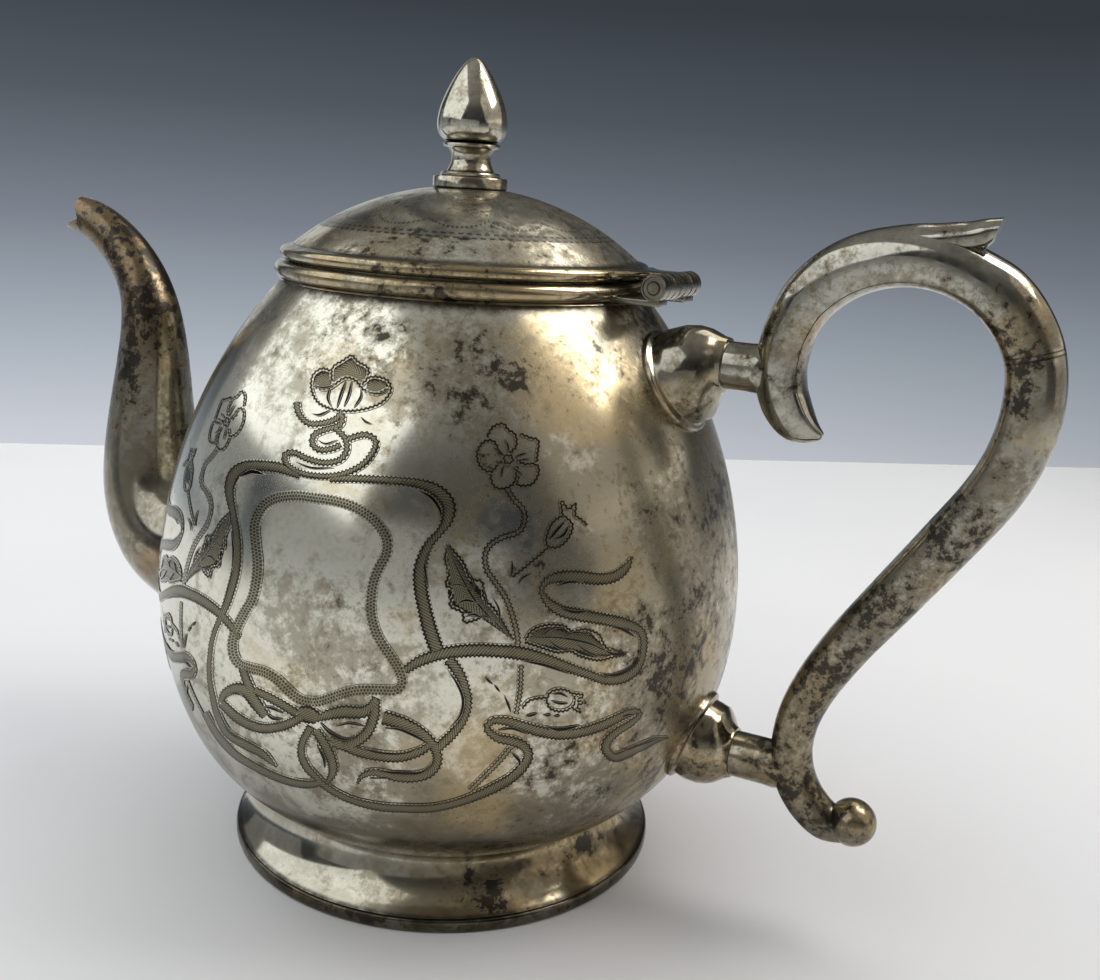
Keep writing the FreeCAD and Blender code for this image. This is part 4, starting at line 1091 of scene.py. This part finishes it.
MIDDLE_CUTS = (
    (4, (240, 477), (252, 472), (266, 475)), (2, (232, 530), (234, 550), (233, 570)),
    (3, (418, 490), (432, 498), (440, 510), (441, 519)),
    (2.5, (434, 545), (425, 560), (426, 575), (429, 590)), (3, (222, 697), (232, 692), (243, 695)),
    (2, (222, 704), (235, 714), (255, 723)), (2.5, (263, 706), (273, 708), (283, 713)),
    (2.5, (266, 712), (273, 718), (283, 719)), (2, (219, 718), (230, 732), (245, 741)),
    (3, (320, 722), (330, 732), (345, 739), (356, 735)), (2, (336, 726), (350, 723), (364, 726)),
    (3, (305, 735), (302, 748), (306, 760)), (3, (317, 744), (324, 757), (325, 768)),
    (3, (362, 748), (385, 753), (405, 753), (420, 746)),
    (3, (385, 728), (400, 729), (420, 738), (430, 745)),
    (3, (370, 770), (395, 772), (420, 772), (432, 763)), (2, (370, 778), (390, 777), (405, 780)),
    (3, (447, 668), (458, 685), (463, 700), (460, 715), (450, 728)),
    (2.6, (346, 381), (341, 395), (337, 408)), (2.6, (352, 381), (349, 395), (344, 407)),
    (2.4, (331, 386), (328, 398), (332, 408)), (2.4, (361, 388), (361, 397), (354, 408)),
    (2.4, (312, 414), (320, 415), (331, 410)), (2.4, (361, 417), (366, 422), (372, 424)),
    (2, (314, 386), (325, 388), (335, 385)), (2, (366, 392), (380, 394), (390, 390)),
    (2, (318, 440), (326, 444), (338, 440)), (2.4, (296, 462), (312, 468), (334, 468)),
)
SIDE_CUTS = (
    (2, (449, 543), (445, 558), (449, 572)), (2.5, (556, 586), (568, 582), (583, 582)),
    (3, (560, 608), (575, 612), (590, 610)), (3, (610, 626), (622, 629), (635, 637)),
    (3.5, (600, 673), (612, 675), (625, 671), (638, 661)), (3, (520, 660), (545, 665), (570, 674)),
    (2.5, (498, 730), (512, 728), (528, 734)), (3.5, (545, 726), (560, 729), (580, 725)),
    (3, (512, 753), (519, 760), (519, 766)), (2, (619, 747), (626, 749), (640, 744), (660, 738)),
    (2, (620, 717), (628, 714), (635, 714)), (2.6, (565, 521), (555, 532), (549, 540)),
    (2.4, (569, 525), (563, 535), (554, 539)), (2, (512, 560), (512, 570), (510, 578)),
    (2, (532, 573), (522, 578), (518, 585)), (2.4, (485, 677), (489, 681), (493, 684)),
    (2.4, (494, 685), (497, 688), (500, 692)), (2.6, (504, 695), (508, 704), (511, 713)),
    (2.6, (526, 716), (530, 715), (537, 713)), (2.2, (543, 715), (547, 715), (551, 714)),
    (2, (554, 716), (556, 716), (560, 715)), (2.6, (552, 694), (560, 693), (568, 697)),
    (2.6, (551, 701), (560, 703), (568, 703)),
    (2.2, (513, 640), (495, 622), (475, 600), (458, 570), (448, 545)),
    (1.8, (495, 622), (486, 616), (470, 617)), (2.6, (478, 603), (466, 600), (456, 604)),
    (1.8, (468, 588), (458, 584), (450, 586)), (1.8, (499, 626), (499, 610), (492, 596)),
    (1.8, (484, 611), (486, 597), (482, 586)), (1.8, (472, 594), (474, 582), (468, 570)),
    (2.4, (465, 617), (474, 614), (484, 619)),
    (2.2, (525, 638), (555, 637), (585, 642), (605, 650), (625, 655)),
    (2, (540, 637), (552, 628), (566, 627)), (2, (562, 638), (574, 632), (590, 634)),
    (2, (548, 640), (560, 648), (572, 650)), (2, (575, 643), (588, 652), (602, 657)),
    (3, (604, 650), (614, 654), (628, 652)), (1.8, (503, 455), (499, 451), (493, 448)),
    (1.8, (508, 453), (508, 447), (505, 439)), (1.8, (514, 458), (520, 455), (527, 453)),
    (1.8, (512, 466), (517, 471), (523, 476)), (1.8, (504, 465), (502, 471), (501, 478)),
    (1.6, (516, 462), (522, 460), (530, 459)),
)
FLOWER = (
    ((332, 380), (333, 368), (343, 361), (352, 356), (358, 362), (368, 368), (368, 378), (361, 386)),
    ((331, 371), (322, 369), (313, 376), (312, 390), (318, 402), (328, 408), (340, 411), (355, 411),
     (370, 408), (383, 402), (391, 391), (388, 381), (377, 377), (368, 378)),
    ((314, 386), (322, 389), (330, 388), (336, 384), (346, 378), (356, 381), (364, 390), (376, 394),
     (389, 389)),
)
SIDE_LINES = (
    ((500, 455), (494, 442), (484, 442), (477, 453), (480, 466), (490, 472), (498, 465)),
    ((487, 437), (493, 427), (503, 424), (508, 430), (515, 435), (516, 446), (510, 453)),
    ((520, 434), (530, 438), (538, 441), (537, 455), (535, 463), (524, 464), (517, 460)),
    ((517, 466), (518, 478), (517, 485), (530, 485), (537, 477), (538, 467), (530, 463)),
    ((490, 474), (493, 485), (501, 489), (512, 485), (516, 476), (515, 468)),
    ((504, 456), (511, 456), (512, 462), (505, 463), (504, 456)),
    ((563, 515), (552, 523), (546, 538), (548, 546), (558, 547), (568, 538), (572, 525), (563, 515)),
    ((562, 515), (561, 501), (568, 509), (575, 504), (575, 515), (580, 519), (587, 525)),
    ((548, 547), (538, 556), (525, 567), (512, 577)),
    ((546, 700), (550, 692), (560, 689), (570, 692), (575, 700), (570, 708), (560, 711), (550, 708),
     (546, 700)),
    ((572, 693), (583, 695), (577, 700), (586, 702), (577, 705), (580, 712), (571, 707)),
    ((522, 708), (530, 700), (546, 697)),
    ((448, 545), (445, 560), (449, 573), (446, 585), (455, 590), (450, 605), (462, 612), (465, 622),
     (480, 618)),
    ((448, 545), (463, 562), (470, 578), (482, 582), (484, 598), (495, 610), (513, 640)),
    ((525, 640), (532, 630), (545, 625), (562, 625), (572, 631), (584, 629), (598, 634), (604, 645),
     (612, 653)),
    ((525, 642), (540, 647), (556, 652), (570, 651), (580, 656), (598, 660), (612, 657), (626, 654)),
)
STEMS = (
    (6, (507, 489), (514, 500), (523, 510), (524, 522), (518, 532), (503, 537), (490, 545), (485, 556),
     (487, 570), (495, 582), (505, 597), (511, 612), (516, 630), (518, 645)),
    (5, (521, 665), (520, 690), (516, 714)),
    (5, (512, 745), (500, 760), (485, 775), (470, 790)),
)
LEAF_EDGES = (
    (((513, 640), (480, 618), (462, 612), (450, 603), (447, 585), (446, 565), (448, 545)),
     ((513, 640), (505, 622), (495, 608), (484, 594), (472, 578), (461, 560), (448, 545))),
    (((525, 642), (540, 647), (556, 651), (572, 652), (590, 657), (608, 656), (626, 654)),
     ((525, 640), (536, 628), (552, 625), (570, 630), (588, 631), (602, 643), (626, 653))),
)
PETAL_EDGES = (
    (((332, 381), (338, 383), (346, 379), (354, 381), (362, 387)),
     ((332, 381), (333, 369), (343, 362), (352, 357), (359, 363), (368, 369), (368, 379), (362, 387))),
    (((314, 387), (322, 390), (331, 388)), ((314, 387), (314, 378), (322, 371), (331, 373), (331, 388))),
    (((366, 390), (376, 394), (389, 390)), ((366, 390), (369, 380), (378, 379), (387, 383), (389, 390))),
)


def engrave(name, strips, finish):
    """Joins the strips of one kind of cut, repeats them on the far side, and fixes them to the pot."""
    near = join(name, *strips)
    take(near)
    bpy.ops.object.duplicate()
    far = bpy.context.object
    edit_all()
    bpy.ops.transform.mirror(constraint_axis=(False, True, False), center_override=(0, 0, 0))
    bpy.ops.mesh.flip_normals()
    bpy.ops.object.mode_set(mode="OBJECT")
    cuts = join(name, near, far)
    apply_modifier(cuts, "SOLIDIFY", thickness=STRIP_THICKNESS * MM, offset=-1.0)
    smooth(cuts, 60)
    coat(cuts, finish)
    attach(cuts, "pot")


def both_sides(lines, **settings):
    strips = []
    for line in lines:
        strips.append(cut_strip(line, **settings))
        strips.append(cut_strip(line, mirrored=True, **settings))
    return strips


def filled(low, high, **settings):
    """Strip that fills the space between two lines."""
    line = even(1, *low)
    far = even(1, *high)
    share = np.linspace(0, 1, len(line))
    far = np.stack([np.interp(share, np.linspace(0, 1, len(far)), far[:, axis]) for axis in (0, 1)], -1)
    return cut_strip(line, edges=(line[:, :2], far), cells=8, crown=0.06, **settings)


engrave("leaves", [filled(*leaf, mirrored=turned) for leaf in LEAF_EDGES for turned in (False, True)]
        + [filled(*petal) for petal in PETAL_EDGES], leaf_silver)
engrave("stems", both_sides([even(width, *spots) for width, *spots in STEMS]), stem_silver)
engrave("shield", [cut_strip(even(10.2, *SHIELD), margin=0.6, crown=0.04)], shield_silver)
MIDDLE_RIBBONS = (RIGHT_RIBBON, LEFT_RIBBON, LOW_LEFT_RIBBON, LOW_RIGHT_RIBBON)
engrave("ribbons", [cut_strip(ease(ribbon), crown=RIBBON_CROWN) for ribbon in MIDDLE_RIBBONS]
        + both_sides([ease(SIDE_RIBBON), ease(LOW_TAIL)], crown=RIBBON_CROWN)
        + [cut_strip(ease(loop), crown=RIBBON_CROWN) for loop in BOW]
        + [cut_strip(even(6.5, *curl), crown=RIBBON_CROWN) for curl in KNOT_CURLS], ribbon_silver)
engrave("outlines", [cut_strip(even(2.6, *petal)) for petal in FLOWER]
        + both_sides([even(2.4, *petal) for petal in SIDE_LINES]), outline_silver)
engrave("deep_cuts", [cut_strip(lens(width, *spots), margin=0.1, cells=2) for width, *spots in MIDDLE_CUTS]
        + both_sides([lens(width, *spots) for width, *spots in SIDE_CUTS], margin=0.1, cells=2), cut_silver)

# Stage: a pale floor that ends behind the pot, and soft light
FLOOR_SIDE = 3000
FLOOR_DEPTH = 4000
left_edge = on_floor(0, 443)
right_edge = on_floor(WIDTH, 468)
along = (right_edge - left_edge).normalized()
towards = Vector((along.y, -along.x, 0))
put_down()
bpy.ops.mesh.primitive_plane_add(size=1)
floor = bpy.context.object
floor.name = "floor"
middle = (left_edge + right_edge) / 2
for corner, (side, near) in zip(floor.data.vertices, ((-1, 1), (1, 1), (-1, 0), (1, 0))):
    corner.co = (middle + along * side * FLOOR_SIDE + towards * near * FLOOR_DEPTH) * MM
paper = Finish("pale_paper")
cloud = paper.level(paper.noise(3, 3, 0.5), 0.3, 0.7)
shade = paper.mix(cloud, (0.84, 0.845, 0.86, 1), (0.90, 0.90, 0.905, 1))
paper.link(shade, paper.shader.inputs["Base Color"])
paper.shader.inputs["Roughness"].default_value = 0.8
paper.shader.inputs["Specular IOR Level"].default_value = 0.0
floor.data.materials.append(paper.material)

room = bpy.data.worlds.new("room")
bpy.context.scene.world = room
room.use_nodes = True
sky = room.node_tree
back = sky.nodes["Background"]
where = sky.nodes.new("ShaderNodeTexCoord")
split = sky.nodes.new("ShaderNodeSeparateXYZ")
ramp = sky.nodes.new("ShaderNodeValToRGB")
sky.links.new(where.outputs["Generated"], split.inputs[0])
stretch = sky.nodes.new("ShaderNodeMapRange")
sky.links.new(split.outputs[2], stretch.inputs["Value"])
stretch.inputs["From Min"].default_value = -0.25
stretch.inputs["From Max"].default_value = 1.0
sky.links.new(stretch.outputs["Result"], ramp.inputs["Fac"])
sky.links.new(ramp.outputs["Color"], back.inputs["Color"])
ramp.color_ramp.elements[0].color = (0.56, 0.585, 0.635, 1)
ramp.color_ramp.elements[1].color = (0.34, 0.335, 0.32, 1)
for place, tone in ((0.037, (0.53, 0.55, 0.60, 1)), (0.089, (0.37, 0.41, 0.46, 1)),
                    (0.128, (0.27, 0.307, 0.351, 1)), (0.166, (0.182, 0.204, 0.243, 1)),
                    (0.204, (0.123, 0.141, 0.168, 1)), (0.241, (0.077, 0.092, 0.109, 1)),
                    (0.308, (0.040, 0.047, 0.058, 1)), (0.48, (0.034, 0.037, 0.041, 1)),
                    (0.64, (0.085, 0.085, 0.083, 1)), (0.76, (0.20, 0.198, 0.19, 1))):
    ramp.color_ramp.elements.new(place).color = tone
aside = sky.nodes.new("ShaderNodeVectorMath")
aside.operation = "DOT_PRODUCT"
sky.links.new(where.outputs["Generated"], aside.inputs[0])
aside.inputs[1].default_value = LEVEL
fade = sky.nodes.new("ShaderNodeMapRange")
sky.links.new(aside.outputs["Value"], fade.inputs["Value"])
fade.inputs["From Min"].default_value = -0.5
fade.inputs["From Max"].default_value = 0.5
fade.inputs["To Min"].default_value = 1.15
fade.inputs["To Max"].default_value = 0.85
sky.links.new(fade.outputs["Result"], back.inputs["Strength"])


def soft_light(name, place, aim, width, height, glow, tint, mirrored=True, spread=True):
    """Soft box; one not mirrored doesn't show in the silver, and one not spread shows only there."""
    put_down()
    bpy.ops.object.light_add(type="AREA", location=Vector(place) * MM)
    light = bpy.context.object
    light.name = name
    light.data.shape = "RECTANGLE"
    light.data.size = width * MM
    light.data.size_y = height * MM
    light.data.energy = glow * math.pi * width * height * MM ** 2
    light.data.color = tint
    light.rotation_euler = (Vector(aim) - Vector(place)).to_track_quat("-Z", "Y").to_euler()
    light.visible_camera = False
    light.visible_glossy = mirrored
    light.visible_diffuse = spread


soft_light("left_panel", (-435, -390, 590), (0, 0, 80), 1250, 640, 1.25, (0.95, 0.98, 1.0))
soft_light("right_panel", (575, 195, 510), (0, 0, 80), 1000, 640, 0.50, (1.0, 0.91, 0.80))
soft_light("right_lamp", (352, 192, 596), (0, 0, 100), 280, 360, 8.6, (1.0, 0.985, 0.95), spread=False)
soft_light("right_glow", (388, 190, 556), (0, 0, 100), 300, 520, 3.1, (1.0, 0.955, 0.945), mirrored=False)
soft_light("right_low", (900, 330, 190), (0, 0, 100), 1000, 420, 0.44, (1.0, 0.93, 0.82), spread=False)
soft_light("over_head", (-450, 380, 850), (-80, 0, 0), 1300, 1000, 1.17, (0.92, 0.965, 1.0), mirrored=False)
soft_light("ceiling", (100, 550, 900), (0, 0, 140), 420, 360, 1.7, (1.0, 0.95, 0.85), spread=False)
soft_light("back_left", (-720, 660, 340), (0, 0, 120), 520, 460, 0.50, (1.0, 1.0, 0.97))
soft_light("left_low", (-1050, -180, 270), (0, 0, 80), 900, 420, 0.20, (0.98, 0.99, 1.0))
soft_light("front_fill", (40, -900, 150), (0, 0, 70), 2000, 420, 0.26, (1.0, 0.99, 0.95))
bpy.context.scene.view_settings.view_transform = "Standard"
